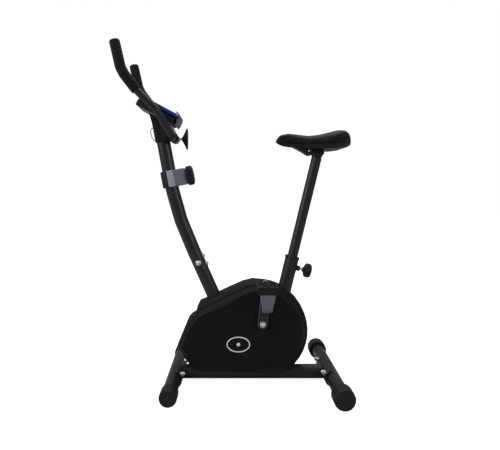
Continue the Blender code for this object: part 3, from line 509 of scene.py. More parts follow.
def turned(profile, base, direction, steps=48):
    """A piece turned on a lathe: a line of (radius, height) points is extruded and spun about its axis."""
    deselect()
    direction = Vector(direction).normalized()
    base = Vector(base)
    helper = Y_AXIS if abs(direction.dot(Y_AXIS)) < 0.9 else Vector((0.0, 0.0, 1.0))
    side = helper.cross(direction).normalized()
    points = [base + side * radius + direction * height for radius, height in profile]
    bpy.ops.mesh.primitive_plane_add(size=0.001, location=points[0])
    piece = bpy.context.object
    bpy.ops.object.transform_apply(location=True, rotation=True, scale=True)
    bpy.ops.object.mode_set(mode="EDIT")
    bpy.ops.mesh.select_all(action="SELECT")
    bpy.ops.mesh.merge(type="CENTER")
    for before, after in zip(points, points[1:]):
        bpy.ops.mesh.extrude_region_move(TRANSFORM_OT_translate={"value": after - before})
    bpy.ops.mesh.select_all(action="SELECT")
    bpy.ops.mesh.spin(steps=steps, angle=2 * math.pi, center=base, axis=direction)
    merge_up()
    bpy.ops.object.mode_set(mode="OBJECT")
    return piece


def rounded(points, radius, steps=8):
    points = [Vector(point) for point in points]
    path = [points[0]]
    for before, corner, after in zip(points, points[1:], points[2:]):
        back = (before - corner).normalized()
        ahead = (after - corner).normalized()
        turn = back.angle(ahead)
        reach = min(
            radius / math.tan(turn / 2), 0.48 * min((before - corner).length, (after - corner).length),
        )
        start = corner + back * reach
        end = corner + ahead * reach
        for step in range(steps + 1):
            share = step / steps
            path.append(start.lerp(corner, share).lerp(corner.lerp(end, share), share))
    path.append(points[-1])
    return path


def tube(points, radius, sides=10, swell=None, caps=True):
    """A round bar or hose along points, drawn as a curve, made a mesh and scaled by swell at each point."""
    deselect()
    bpy.ops.curve.primitive_nurbs_path_add(location=(0.0, 0.0, 0.0))
    piece = bpy.context.object
    curve = piece.data
    curve.splines.clear()
    line = curve.splines.new("POLY")
    line.points.add(len(points) - 1)
    for number, point in enumerate(points):
        line.points[number].co = (*point, 1.0)
        line.points[number].radius = swell[number] if swell else 1.0
    curve.dimensions = "3D"
    curve.twist_mode = "MINIMUM"
    curve.bevel_depth = radius
    curve.bevel_resolution = sides
    curve.use_fill_caps = caps
    activate(piece)
    bpy.ops.object.convert(target="MESH")
    piece = bpy.context.object
    bpy.ops.object.mode_set(mode="EDIT")
    merge_up()
    bpy.ops.object.mode_set(mode="OBJECT")
    return piece


def apply_modifier(piece, kind, **values):
    activate(piece)
    modifier = piece.modifiers.new(kind.lower(), kind)
    for label, value in values.items():
        setattr(modifier, label, value)
    bpy.ops.object.modifier_apply(modifier=modifier.name)


def block(middle, size, turn=0.0, bevel=0.002, segments=4):
    """A cube scaled to its size, turned about Y, with rounded edges."""
    deselect()
    bpy.ops.mesh.primitive_cube_add(size=1.0, location=middle, rotation=(0.0, turn, 0.0))
    piece = bpy.context.object
    piece.scale = size
    bpy.ops.object.transform_apply(location=False, rotation=False, scale=True)
    if bevel:
        bpy.ops.object.mode_set(mode="EDIT")
        bpy.ops.mesh.select_all(action="SELECT")
        bpy.ops.mesh.bevel(offset=bevel, segments=segments, affect="EDGES", profile=0.5)
        bpy.ops.object.mode_set(mode="OBJECT")
    bpy.ops.object.transform_apply(location=True, rotation=True, scale=True)
    return piece


def copy_of(node):
    """A merged copy of a frame node, ready to be worked on."""
    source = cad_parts[node]
    activate(source)
    bpy.ops.object.duplicate()
    piece = bpy.context.object
    piece.parent = None
    for key in list(piece.keys()):
        del piece[key]
    piece.matrix_world = Matrix.Identity(4)
    piece.hide_render = False
    bpy.ops.object.mode_set(mode="EDIT")
    bpy.ops.mesh.select_all(action="SELECT")
    bpy.ops.mesh.remove_doubles(threshold=WELD)
    bpy.ops.object.mode_set(mode="OBJECT")
    if piece.data.has_custom_normals:
        bpy.ops.mesh.customdata_custom_splitnormals_clear()
    return piece


def rejoin_flats(piece):
    """Makes one face again of each flat that was cut into triangles."""
    activate(piece)
    bpy.ops.object.mode_set(mode="EDIT")
    bpy.ops.mesh.select_all(action="SELECT")
    bpy.ops.mesh.dissolve_limited(angle_limit=math.radians(1.0))
    bpy.ops.object.mode_set(mode="OBJECT")


def round_edges(piece, width, segments, angle):
    """Rounds the edges that are sharper than the angle, in degrees."""
    apply_modifier(
        piece, "BEVEL", width=width, segments=segments, limit_method="ANGLE",
        angle_limit=math.radians(angle),
    )


def from_corners(corners, faces):
    """A sheet with the given corners, ready for a thickness."""
    mesh = bpy.data.meshes.new("sheet")
    mesh.from_pydata(corners, [], faces)
    sheet = bpy.data.objects.new("sheet", mesh)
    bpy.context.scene.collection.objects.link(sheet)
    return sheet


def refined(node, slot, body, bevel=0.0008, segments=3, angle=28.0):
    """A frame node's own shape with its flats rejoined and its sharp edges rounded."""
    piece = copy_of(node)
    rejoin_flats(piece)
    round_edges(piece, bevel, segments, angle)
    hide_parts(node)
    return settle(piece, f"{node}_finished", slot, body)


def carried(node, slot, bevel=0.0006, angle=30.0):
    """Keeps a frame node's own shape and gives it a finish, with its sharp edges softened."""
    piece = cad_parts[node]
    activate(piece)
    if piece.data.has_custom_normals:
        bpy.ops.mesh.customdata_custom_splitnormals_clear()
    for face in piece.data.polygons:
        face.use_smooth = True
    piece.data.materials.clear()
    piece.data.materials.append(finish_for(slot))
    weld = piece.modifiers.new("weld", "WELD")
    weld.merge_threshold = WELD
    soften = piece.modifiers.new("soften", "BEVEL")
    soften.width = bevel
    soften.segments = 2
    soften.limit_method = "ANGLE"
    soften.angle_limit = math.radians(angle)
    soften.harden_normals = True
    return piece


def dress(piece, finish):
    """Gives a piece one finish of its own in place of its slot's."""
    piece.data.materials.clear()
    piece.data.materials.append(finish)


def joined(pieces):
    """Joins pieces into the first."""
    deselect()
    for piece in pieces:
        piece.select_set(True)
    bpy.context.view_layer.objects.active = pieces[0]
    bpy.ops.object.join()
    return bpy.context.object


def around(piece, count, centre, axis):
    """Copies a modelled feature evenly round an axis and joins the copies."""
    copies = [piece]
    for number in range(1, count):
        activate(piece)
        bpy.ops.object.duplicate()
        copy = bpy.context.object
        turn = Matrix.Rotation(2 * math.pi * number / count, 4, Vector(axis))
        copy.data.transform(Matrix.Translation(centre) @ turn @ Matrix.Translation(-Vector(centre)))
        copies.append(copy)
    return joined(copies)


def hex_nut(base, out, across=0.0075, height=0.007, washer=0.0105):
    """A domed hexagon nut on a round washer."""
    ring = turned(
        [(0.0, 0.0), (washer, 0.0), (washer, 0.0014), (washer - 0.0006, 0.0018), (0.0, 0.0018)], base, out,
        32,
    )
    six = turned(
        [
            (0.0, 0.0016), (across, 0.0016), (across, 0.0016 + height), (across * 0.86, 0.0022 + height),
            (0.0, 0.0022 + height),
        ],
        base, out, 6,
    )
    apply_modifier(six, "BEVEL", width=0.0004, segments=2, limit_method="ANGLE", angle_limit=0.5)
    dome = [(0.0, 0.0015 + height + 0.0052)]
    for step in range(1, 7):
        angle = math.pi / 2 * step / 6
        dome.append((across * 0.80 * math.sin(angle), 0.0015 + height + 0.0052 * math.cos(angle)))
    dome.append((0.0, 0.0010 + height))
    cap = turned(dome, base, out, 24)
    return joined([ring, six, cap])


def console_point(along, across, up):
    return CONSOLE_MIDDLE + CONSOLE_SLOPE * along + Y_AXIS * across + CONSOLE_NORMAL * up


def console_block(along, across, low, high, spot=(0.0, 0.0), bevel=0.002, segments=4):
    return block(
        console_point(spot[0], spot[1], (low + high) / 2), (along, across, high - low), CONSOLE_TILT, bevel,
        segments,
    )


def handlebar_points(sign):
    return [
        at(-0.215, sign * 0.062, 0.889), at(-0.262, sign * 0.112, 0.975), at(-0.322, sign * 0.130, 1.033),
        at(-0.366, sign * 0.135, 1.090), at(-0.378, sign * 0.135, 1.113), at(-0.399, sign * 0.135, 1.204),
    ]


# ---------------------------------------------------------------- pieces


class BIKE_OT_frame(bpy.types.Operator):
    """Finish the welded frame: tubes, plates and the curved front post"""

    bl_idname = "bike.frame"
    bl_label = "Frame"

    def execute(self, context):
        settings = context.scene.bike_frame
        for node in (
            "base_tube", "front_stub_tube", "seat_tube", "front_stabilizer", "rear_stabilizer",
            "front_saddle_plate", "rear_saddle_plate", "bottom_bracket_shell", "bracket_gusset",
            "axle_plate_left", "axle_plate_right", "seat_post",
        ):
            carried(node, "frame_paint", 0.0008)
        post = tube(rounded(POST_LINE, 0.25, 12), settings.tube_radius, 10, caps=False)
        apply_modifier(post, "SOLIDIFY", thickness=POST_WALL, offset=-1.0, use_even_offset=True)
        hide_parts("handlebar_post")
        settle(post, "curved_post", "frame_paint", "frame", 40.0)
        return {"FINISHED"}


class BIKE_OT_end_caps(bpy.types.Operator):
    """Finish the levelling caps on the stabilizers, each with a dished end"""

    bl_idname = "bike.end_caps"
    bl_label = "End caps"

    def execute(self, context):
        for end in ("front", "rear"):
            for side, sign in SIDES:
                node = f"{end}_cap_{side}"
                cap = copy_of(node)
                rejoin_flats(cap)
                bpy.ops.object.mode_set(mode="EDIT")
                mesh = bmesh.from_edit_mesh(cap.data)
                ends = [face for face in mesh.faces if face.normal.y * sign > 0.9]
                outer = max(ends, key=lambda face: face.calc_center_median().y * sign)
                for face in mesh.faces:
                    face.select_set(face is outer)
                bmesh.update_edit_mesh(cap.data)
                bpy.ops.mesh.inset(thickness=CAP_RIM, depth=0.0)
                bpy.ops.mesh.inset(thickness=CAP_DISH, depth=-CAP_DISH)
                bpy.ops.object.mode_set(mode="OBJECT")
                round_edges(cap, 0.0007, 3, 14)
                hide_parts(node)
                settle(cap, f"{node}_finished", "black_plastic", "frame", 12.0)
        return {"FINISHED"}


class BIKE_OT_fasteners(bpy.types.Operator):
    """Model the plated nuts on the stabilizers, the post's bolts and the crank nuts"""

    bl_idname = "bike.fasteners"
    bl_label = "Fasteners"

    def execute(self, context):
        for end, centre, way in (
            ("front", at(-0.208, 0.0, 0.0295), 1.0), ("rear", at(0.355, 0.0, 0.035), -1.0),
        ):
            for side, sign in SIDES:
                out = Vector((math.cos(NUT_LEAN) * way, 0.0, math.sin(NUT_LEAN)))
                base = centre + Y_AXIS * sign * NUT_SPREAD + out * NUT_RISE
                nut = hex_nut(base, out)
                settle(nut, f"{end}_stabilizer_nut_{side}", "zinc", "frame")
        out = Vector((math.cos(STUB_LEAN), 0.0, math.sin(STUB_LEAN)))
        spots = (
            ("left", 0.033, -Y_AXIS),
            ("right", 0.033, Y_AXIS),
            ("upper", 0.049, out),
            ("lower", 0.017, out),
        )
        for name, height, way in spots:
            base = SEAM + STUB_AXIS * height + way * BOLT_RISE
            washer = turned(
                [(0.0, -0.001), (0.0100, -0.001), (0.0100, 0.0016), (0.0092, 0.0022), (0.0, 0.0022)], base,
                way, 32,
            )
            head = [(0.0, 0.0068)]
            for step in range(1, 8):
                angle = math.pi / 2 * step / 7
                head.append((0.0066 * math.sin(angle), 0.0026 + 0.0042 * math.cos(angle)))
            head.append((0.0066, 0.0015))
            head.append((0.0, 0.0015))
            dome = turned(head, base, way, 24)
            settle(joined([washer, dome]), f"post_bolt_{name}", "zinc", "frame")
        for side, sign in SIDES:
            base = CRANK + Y_AXIS * sign * CRANK_NUT_Y
            nut = hex_nut(base, Y_AXIS * sign, 0.0084, 0.0042, 0.0108)
            settle(nut, f"crank_nut_{side}", "zinc", "crank")
        return {"FINISHED"}


class BIKE_OT_covers(bpy.types.Operator):
    """Finish the drive cover's halves: a printed ring on each and screws in the right one"""

    bl_idname = "bike.covers"
    bl_label = "Drive covers"

    def execute(self, context):
        settings = context.scene.bike_cover
        half = settings.half_width
        for side, sign in SIDES:
            # The cover's wide rounded edges take the lightened edge colour, a painted highlight on the rim's
            # ridges.
            carried(f"cover_{side}", "cover_plastic", 0.0014, 12.0)
            screws = SCREW_SPOTS if side == "right" else ()
            for number, (x, z) in enumerate(screws):
                base = at(x, sign * (half + 0.0001), z)
                way = Y_AXIS * sign
                dish = turned(
                    [
                        (0.0062, 0.0), (0.0066, 0.0006), (0.0058, 0.0011), (0.0048, 0.0008), (0.0044, 0.0),
                        (0.0062, 0.0),
                    ],
                    base, way, 28,
                )
                head = turned(
                    [
                        (0.0, 0.0), (0.0040, 0.0), (0.0040, 0.0004), (0.0030, 0.0012), (0.0012, 0.0015),
                        (0.0, 0.0006),
                    ],
                    base, way, 24,
                )
                settle(dish, f"cover_{side}_screw_seat_{number + 1}", "cover_plastic", "frame")
                settle(head, f"cover_{side}_screw_{number + 1}", "black_plastic", "frame")
            self.ring_mark(side, sign, half)
        return {"FINISHED"}

    def ring_mark(self, side, sign, half):
        """A plain printed oval ring with a dot in it."""
        level = sign * (half + 0.0002)
        centre = at(MARK_SPOT[0], level, MARK_SPOT[1])
        loop = []
        for step in range(64):
            angle = 2 * math.pi * step / 64
            loop.append(
                centre + Vector((MARK_SIZE[0] * math.cos(angle), 0.0, MARK_SIZE[1] * math.sin(angle)))
            )
        ring = tube(loop + [loop[0]], 0.0020, 3, caps=False)
        dot = turned(
            [(0.0, -0.0042), (0.0062, -0.0042), (0.0062, 0.0042), (0.0, 0.0042)], centre, Y_AXIS, 40,
        )
        mark = joined([ring, dot])
        for vertex in mark.data.vertices:
            vertex.co.y = level + (vertex.co.y - level) * 0.04
        settle(mark, f"cover_{side}_ring_mark", "grey_plastic", "frame")
        ink = bpy.context.scene.bike_cover.mark
        dress(mark, surface("printed_ring", ink, 0.4, bump=0.02, rub_and_highlight=0.0, mottle=0.03))


class BIKE_OT_drive(bpy.types.Operator):
    """Finish the crank set, belt, flywheel and magnet bracket"""

    bl_idname = "bike.drive"
    bl_label = "Drive"

    def execute(self, context):
        for side in ("left", "right"):
            arm = refined(f"crank_arm_{side}", "crank_steel", "crank", 0.0016, 4, 25.0)
            # Flat faces take a dark finish, a painted dark reflection of the polished arm; the bright steel
            # sides and bevels paint its edge highlight.
            arm.data.materials.append(
                surface("crank_dark_reflection", (0.0075, 0.0072, 0.0070), 0.45, grain=650.0, bump=0.08, rub_and_highlight=0.2)
            )
            for face in arm.data.polygons:
                if abs(face.normal.y) > 0.93:
                    face.material_index = 1
            carried(f"crank_bearing_{side}", "zinc", 0.0004)
            carried(f"pedal_spindle_{side}", "zinc", 0.0004)
        carried("crank_axle", "crank_steel", 0.0008)
        carried("drive_pulley", "black_plastic", 0.0006)
        carried("drive_belt", "belt_rubber", 0.0004)
        carried("flywheel", "iron", 0.0008)
        carried("flywheel_axle", "zinc", 0.0005)
        carried("magnet_bracket", "alloy", 0.0006)
        carried("magnet_bracket_pin", "zinc", 0.0004)
        carried("tension_cable", "cable_jacket", 0.0001)
        return {"FINISHED"}


class BIKE_OT_pedals(bpy.types.Operator):
    """Model the ribbed pedals and their rubber straps"""

    bl_idname = "bike.pedals"
    bl_label = "Pedals"

    def execute(self, context):
        for side, sign in SIDES:
            end = CRANK + Vector((math.sin(CRANK_LEAN), 0.0, math.cos(CRANK_LEAN))) * CRANK_LENGTH * -sign
            middle = end + Y_AXIS * sign * PEDAL_Y
            core = block(middle, (0.066, 0.082, 0.0195), 0.0, 0.0035, 4)
            ends = []
            for y in (0.1025, 0.1875):
                ends.append(block(end + Y_AXIS * sign * y, (0.070, 0.005, 0.0248), 0.0, 0.0018, 3))
            for y in (0.118, 0.136, 0.154, 0.172):
                for face in (1.0, -1.0):
                    rib = block(
                        end + Y_AXIS * sign * y + Vector((0.0, 0.0, face * 0.0105)),
                        (0.060, 0.0055, 0.0038), 0.0, 0.0012, 3,
                    )
                    ends.append(rib)
            for x in (-0.0325, 0.0325):
                ends.append(block(middle + Vector((x, 0.0, 0.0)), (0.0040, 0.086, 0.0246), 0.0, 0.0014, 3))
            pedal = joined([core] + ends)
            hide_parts(f"pedal_{side}")
            settle(pedal, f"pedal_{side}_ribbed", "black_plastic", f"pedal_{side}_body")
            nose = turned(
                [(0.0, 0.0), (0.0070, 0.0), (0.0070, 0.001), (0.0055, 0.0019), (0.0, 0.0022)],
                end + Y_AXIS * sign * 0.1878, Y_AXIS * sign, 24,
            )
            settle(nose, f"pedal_{side}_dust_cap", "black_plastic", f"pedal_{side}_body")
            self.strap(side, sign, end)
        return {"FINISHED"}

    def strap(self, side, sign, end):
        """A band that hangs in a loop, wide at the pedal and narrow at its middle."""
        line = [
            (0.1045, -0.0129, 0.0255), (0.1034, -0.022, 0.0240), (0.1034, -0.031, 0.0222),
            (0.1060, -0.046, 0.0176), (0.1120, -0.0585, 0.0168), (0.1210, -0.0690, 0.0163),
            (0.1330, -0.0780, 0.0158), (0.1450, -0.0807, 0.0155),
        ]
        line += [(2 * PEDAL_Y - y, z, width) for y, z, width in line[-2::-1]]
        verts = []
        for y, z, width in line:
            for share in (-1.0, -0.5, 0.0, 0.5, 1.0):
                verts.append((end.x + width * share, sign * y, end.z + z))
        faces = []
        for row in range(len(line) - 1):
            for column in range(4):
                first = row * 5 + column
                faces.append((first, first + 1, first + 6, first + 5))
        band = from_corners(verts, faces)
        activate(band)
        bpy.ops.object.mode_set(mode="EDIT")
        bpy.ops.mesh.select_all(action="SELECT")
        bpy.ops.mesh.normals_make_consistent(inside=False)
        bpy.ops.object.mode_set(mode="OBJECT")
        apply_modifier(band, "SOLIDIFY", thickness=0.0024, offset=0.0, use_even_offset=True)
        round_edges(band, 0.0006, 2, 50)
        apply_modifier(band, "SUBSURF", levels=1, render_levels=1)
        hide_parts(f"pedal_strap_{side}")
        settle(band, f"pedal_strap_{side}_band", "strap_rubber", f"pedal_{side}_body", 50.0)


class BIKE_OT_handlebar(bpy.types.Operator):
    """Model the swept handlebar, its foam grips and end plugs"""

    bl_idname = "bike.handlebar"
    bl_label = "Handlebar"

    def execute(self, context):
        settings = context.scene.bike_control
        left = rounded(handlebar_points(-1.0)[::-1] + handlebar_points(1.0), 0.045, 9)
        bar = tube(left, settings.bar_radius, 8)
        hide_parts("handlebar")
        settle(bar, "swept_handlebar", "frame_paint", "handlebar_body", 40.0)
        for side, sign in SIDES:
            line = rounded(handlebar_points(sign)[1:], 0.045, 9)
            first = max(number for number, point in enumerate(line) if point.z < 1.036)
            line = line[first:]
            tip = line[-1]
            back = (line[-2] - tip).normalized()
            ahead = (line[1] - line[0]).normalized()
            start = line[0]
            body = [start, start + ahead * 0.0012, start + ahead * 0.0035, start + ahead * 0.007]
            body += [
                point for point in line[1:] if (point - start).length > 0.010 and (point - tip).length > 0.010
            ]
            body += [tip + back * 0.0075, tip + back * 0.0040, tip + back * 0.0018, tip]
            swell = [0.84, 0.93, 0.985, 1.0] + [1.0] * (len(body) - 8) + [1.0, 0.97, 0.92, 0.82]
            foam = tube(body, settings.grip_radius, 10, swell, caps=False)
            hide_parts(f"grip_{side}")
            apply_modifier(foam, "SOLIDIFY", thickness=0.0048, offset=-1.0)
            settle(foam, f"foam_grip_{side}", "foam", "handlebar_body", 60.0)
            plug = turned(
                [(0.0, 0.0012), (0.010, 0.0008), (0.0128, 0.0), (0.0134, -0.002), (0.0, -0.002)], tip,
                -back, 32,
            )
            settle(plug, f"grip_plug_{side}", "black_plastic", "handlebar_body")
        return {"FINISHED"}


class BIKE_OT_clamp(bpy.types.Operator):
    """Finish the handlebar clamp, its flared knob and the cover round the head of the post"""

    bl_idname = "bike.clamp"
    bl_label = "Clamp and post head"

    def execute(self, context):
        refined("clamp_cradle", "frame_paint", "frame", 0.0010, 3)
        refined("clamp_cap", "frame_paint", "frame", 0.0010, 3)
        refined("post_head_cover_front", "black_plastic", "frame", 0.0016, 3)
        refined("post_head_cover_rear", "black_plastic", "frame", 0.0016, 3)
        profile = [
            (0.0, 0.0), (0.0078, 0.0), (0.0085, 0.0006), (0.0094, 0.0020), (0.0118, 0.0038),
            (0.0152, 0.0056), (0.0190, 0.0076), (0.0232, 0.0098), (0.0286, 0.0122), (0.0346, 0.0146),
            (0.0384, 0.0162), (0.0400, 0.0180), (0.0398, 0.0196), (0.0380, 0.0209), (0.0340, 0.0214),
            (0.0, 0.0215),
        ]
        knob = turned(profile, CLAMP_PIVOT, X_AXIS, 64)
        for vertex in knob.data.vertices:
            vertex.co.y *= CLAMP_KNOB_NARROW
        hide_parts("clamp_knob")
        settle(knob, "flared_clamp_knob", "black_plastic", "clamp_knob_body", 40.0)
        thread = [(0.0, -0.0102), (0.0044, -0.0102), (0.0048, -0.0098)]
        for number in range(9):
            thread += [(0.0050, -0.0092 + 0.0011 * number), (0.0045, -0.00865 + 0.0011 * number)]
        thread += [(0.0048, 0.0010), (0.0, 0.0010)]
        settle(turned(thread, CLAMP_PIVOT, X_AXIS, 32), "clamp_stud", "zinc", "clamp_knob_body")
        path = rounded(SIGNAL_LINE, 0.014, 8)
        wire = tube(path, SIGNAL_RADIUS, 4)
        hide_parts("signal_wire")
        settle(wire, "signal_lead", "cable_jacket", "frame", 60.0)
        return {"FINISHED"}


class BIKE_OT_console(bpy.types.Operator):
    """Model the tilted console: back shell, blue face, screen, keys and ledge"""

    bl_idname = "bike.console"
    bl_label = "Console"

    def execute(self, context):
        shell = console_block(0.1485, 0.1222, -0.0212, 0.0048, (0.0, 0.0), 0.0070, 6)
        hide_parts("console_back")
        settle(shell, "console_shell", "black_plastic", "frame")
        shell.data.materials.append(
            surface("shell_underside", (0.13, 0.13, 0.125), 0.5, grain=1200.0, bump=0.1, rub_and_highlight=0.2)
        )
        for face in shell.data.polygons:
            if face.normal.dot(CONSOLE_NORMAL) < -0.9:
                face.material_index = 1
        carried("console_bezel", "blue_plastic", 0.0012)
        for side, sign in SIDES:
            self.side_trim(side, sign)
        rim = console_block(0.0755, 0.0955, 0.0188, 0.0197, (SCREEN_ALONG, 0.0), 0.0003, 1)
        hole = console_block(0.0690, 0.0890, 0.0150, 0.0250, (SCREEN_ALONG, 0.0), 0.0, 1)
        apply_modifier(rim, "BOOLEAN", object=hole, operation="DIFFERENCE", solver="EXACT")
        bpy.data.objects.remove(hole)
        settle(rim, "screen_rim", "silver_plastic", "frame")
        carried("console_display", "display", 0.0003)
        bars = []
        for row, width in ((-0.046, 0.064), (-0.030, 0.042), (-0.014, 0.070), (0.002, 0.032)):
            bars.append(console_block(0.0060, width, 0.0182, 0.0184, (row, -0.037 + width / 2), 0.0, 1))
        segments = joined(bars)
        settle(segments, "screen_segments", "display", "frame")
        dress(segments, surface("screen_ink", (0.03, 0.035, 0.03), 0.3, bump=0.0, rub_and_highlight=0.0, dust=0.0))
        for number in range(3):
            spot = (KEY_ALONG, KEY_PITCH * (number - 1))
            key = console_block(0.0140, 0.0220, 0.0165, 0.0205, spot, 0.0016, 5)
            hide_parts(f"console_button_{number + 1}")
            settle(key, f"console_key_{number + 1}", "grey_plastic", f"button_{number + 1}")
        ledge = copy_of("console_ledge")
        rejoin_flats(ledge)
        round_edges(ledge, 0.0008, 3, 16)
        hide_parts("console_ledge")
        settle(ledge, "book_ledge", "grey_plastic", "frame")
        dress(ledge, surface("ledge_grey", (0.115, 0.118, 0.112), 0.5, grain=1200.0, bump=0.08, rub_and_highlight=0.3))
        return {"FINISHED"}

    def side_trim(self, side, sign):
        """A black strip down the side of the blue face that narrows towards the ledge."""
        outline = [
            (-0.071, 0.0056), (-0.071, 0.0182), (-0.004, 0.0182), (0.026, 0.0085), (0.071, 0.0085),
            (0.071, 0.0056),
        ]
        corners = [console_point(along, sign * 0.0656, up) for along, up in outline]
        trim = from_corners(corners, [tuple(range(len(corners)))])
        apply_modifier(trim, "SOLIDIFY", thickness=0.0010, offset=0.0)
        round_edges(trim, 0.0003, 2, 40)
        activate(trim)
        bpy.ops.object.mode_set(mode="EDIT")
        merge_up()
        bpy.ops.object.mode_set(mode="OBJECT")
        settle(trim, f"console_side_trim_{side}", "black_plastic", "frame")


class BIKE_OT_tension(bpy.types.Operator):
    """Finish the tension housing and model its ribbed knob"""

    bl_idname = "bike.tension"
    bl_label = "Tension control"

    def execute(self, context):
        housing = refined("tension_housing", "silver_plastic", "frame", 0.0016, 4, 30.0)
        housing.data.materials.append(
            surface("housing_grey", (0.135, 0.148, 0.18), 0.5, grain=600.0, bump=0.3, rub_and_highlight=0.2)
        )
        housing.data.materials.append(finish_for("black_plastic"))
        for face in housing.data.polygons:
            reach = (face.center - TENSION).dot(TENSION_REAR)
            if reach > 0.0285:
                face.material_index = 1
            elif reach < -0.0060:
                face.material_index = 2
        base = TENSION + TENSION_REAR * TENSION_KNOB_OUT
        core = turned(
            [
                (0.0, -0.036), (0.005, -0.036), (0.005, 0.0), (0.0325, 0.0), (0.0335, 0.001),
                (0.0335, 0.0195), (0.0305, 0.0235), (0.0275, 0.0245), (0.0258, 0.0236), (0.0, 0.0232),
            ],
            base, TENSION_REAR, 60,
        )
        rib = block(
            base + TENSION_REAR * 0.0115 + TENSION_UP * 0.0338, (0.0200, 0.0044, 0.0036), -TENSION_TILT,
            0.0012, 3,
        )
        ribs = around(rib, 24, base, TENSION_REAR)
        pointer = block(
            base + TENSION_REAR * 0.0241 + TENSION_UP * 0.017, (0.0010, 0.0026, 0.0130), -TENSION_TILT,
            0.0004, 2,
        )
        knob = joined([core, ribs])
        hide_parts("tension_knob")
        settle(knob, "ribbed_tension_knob", "black_plastic", "tension_knob_body")
        settle(pointer, "tension_pointer", "grey_plastic", "tension_knob_body")
        return {"FINISHED"}


class BIKE_OT_seat_fittings(bpy.types.Operator):
    """Model the fluted seat knob and its pull pin, and finish the saddle's clamp with its nuts and bolts"""

    bl_idname = "bike.seat_fittings"
    bl_label = "Seat fittings"

    def execute(self, context):
        stud = turned(
            [
                (0.0, 0.0192), (0.0036, 0.0192), (0.0040, 0.0196), (0.0052, 0.022), (0.0052, 0.0475),
                (0.0, 0.0475),
            ],
            SEAT_KNOB_PIN, SEAT_REAR, 32,
        )
        settle(stud, "pull_pin", "zinc", "seat_knob_body")
        profile = [
            (0.0, 0.0465), (0.0085, 0.0465), (0.0090, 0.0472), (0.0092, 0.0510), (0.0130, 0.0524),
            (0.0190, 0.0534), (0.0235, 0.0555), (0.0254, 0.0585), (0.0260, 0.0620), (0.0260, 0.0700),
            (0.0252, 0.0740), (0.0225, 0.0772), (0.0180, 0.0786), (0.0, 0.0790),
        ]
        knob = turned(profile, SEAT_KNOB_PIN, SEAT_REAR, 80)
        for vertex in knob.data.vertices:
            offset = vertex.co - SEAT_KNOB_PIN
            height = offset.dot(SEAT_REAR)
            radial = offset - SEAT_REAR * height
            if radial.length > 0.015:
                angle = math.atan2(radial.dot(Y_AXIS), radial.dot(SEAT_AXIS))
                flute = 0.5 + 0.5 * math.cos(SEAT_FLUTES * angle)
                depth = 0.0034 * (1.0 - flute) ** 2 * min((radial.length - 0.015) / 0.009, 1.0)
                vertex.co -= radial.normalized() * depth
        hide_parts("seat_knob")
        settle(knob, "fluted_seat_knob", "black_plastic", "seat_knob_body", 45.0)
        carried("seat_tube_bushing", "black_plastic", 0.0006)
        refined("saddle_clamp", "black_plastic", "saddle_body", 0.0014, 4)
        for side, sign in SIDES:
            nut = hex_nut(SADDLE_PIVOT + Y_AXIS * sign * 0.0233, Y_AXIS * sign, 0.0066, 0.0036, 0.0085)
            settle(nut, f"saddle_clamp_nut_{side}", "black_plastic", "saddle_body")
            bolt = [(0.0, 0.0), (0.0042, 0.0), (0.0042, 0.0014), (0.0030, 0.0026), (0.0, 0.0030)]
            head = turned(bolt, at(0.281, sign * 0.0190, 0.8430), Y_AXIS * sign, 24)
            settle(head, f"saddle_bolt_{side}", "zinc", "saddle_body")
        return {"FINISHED"}


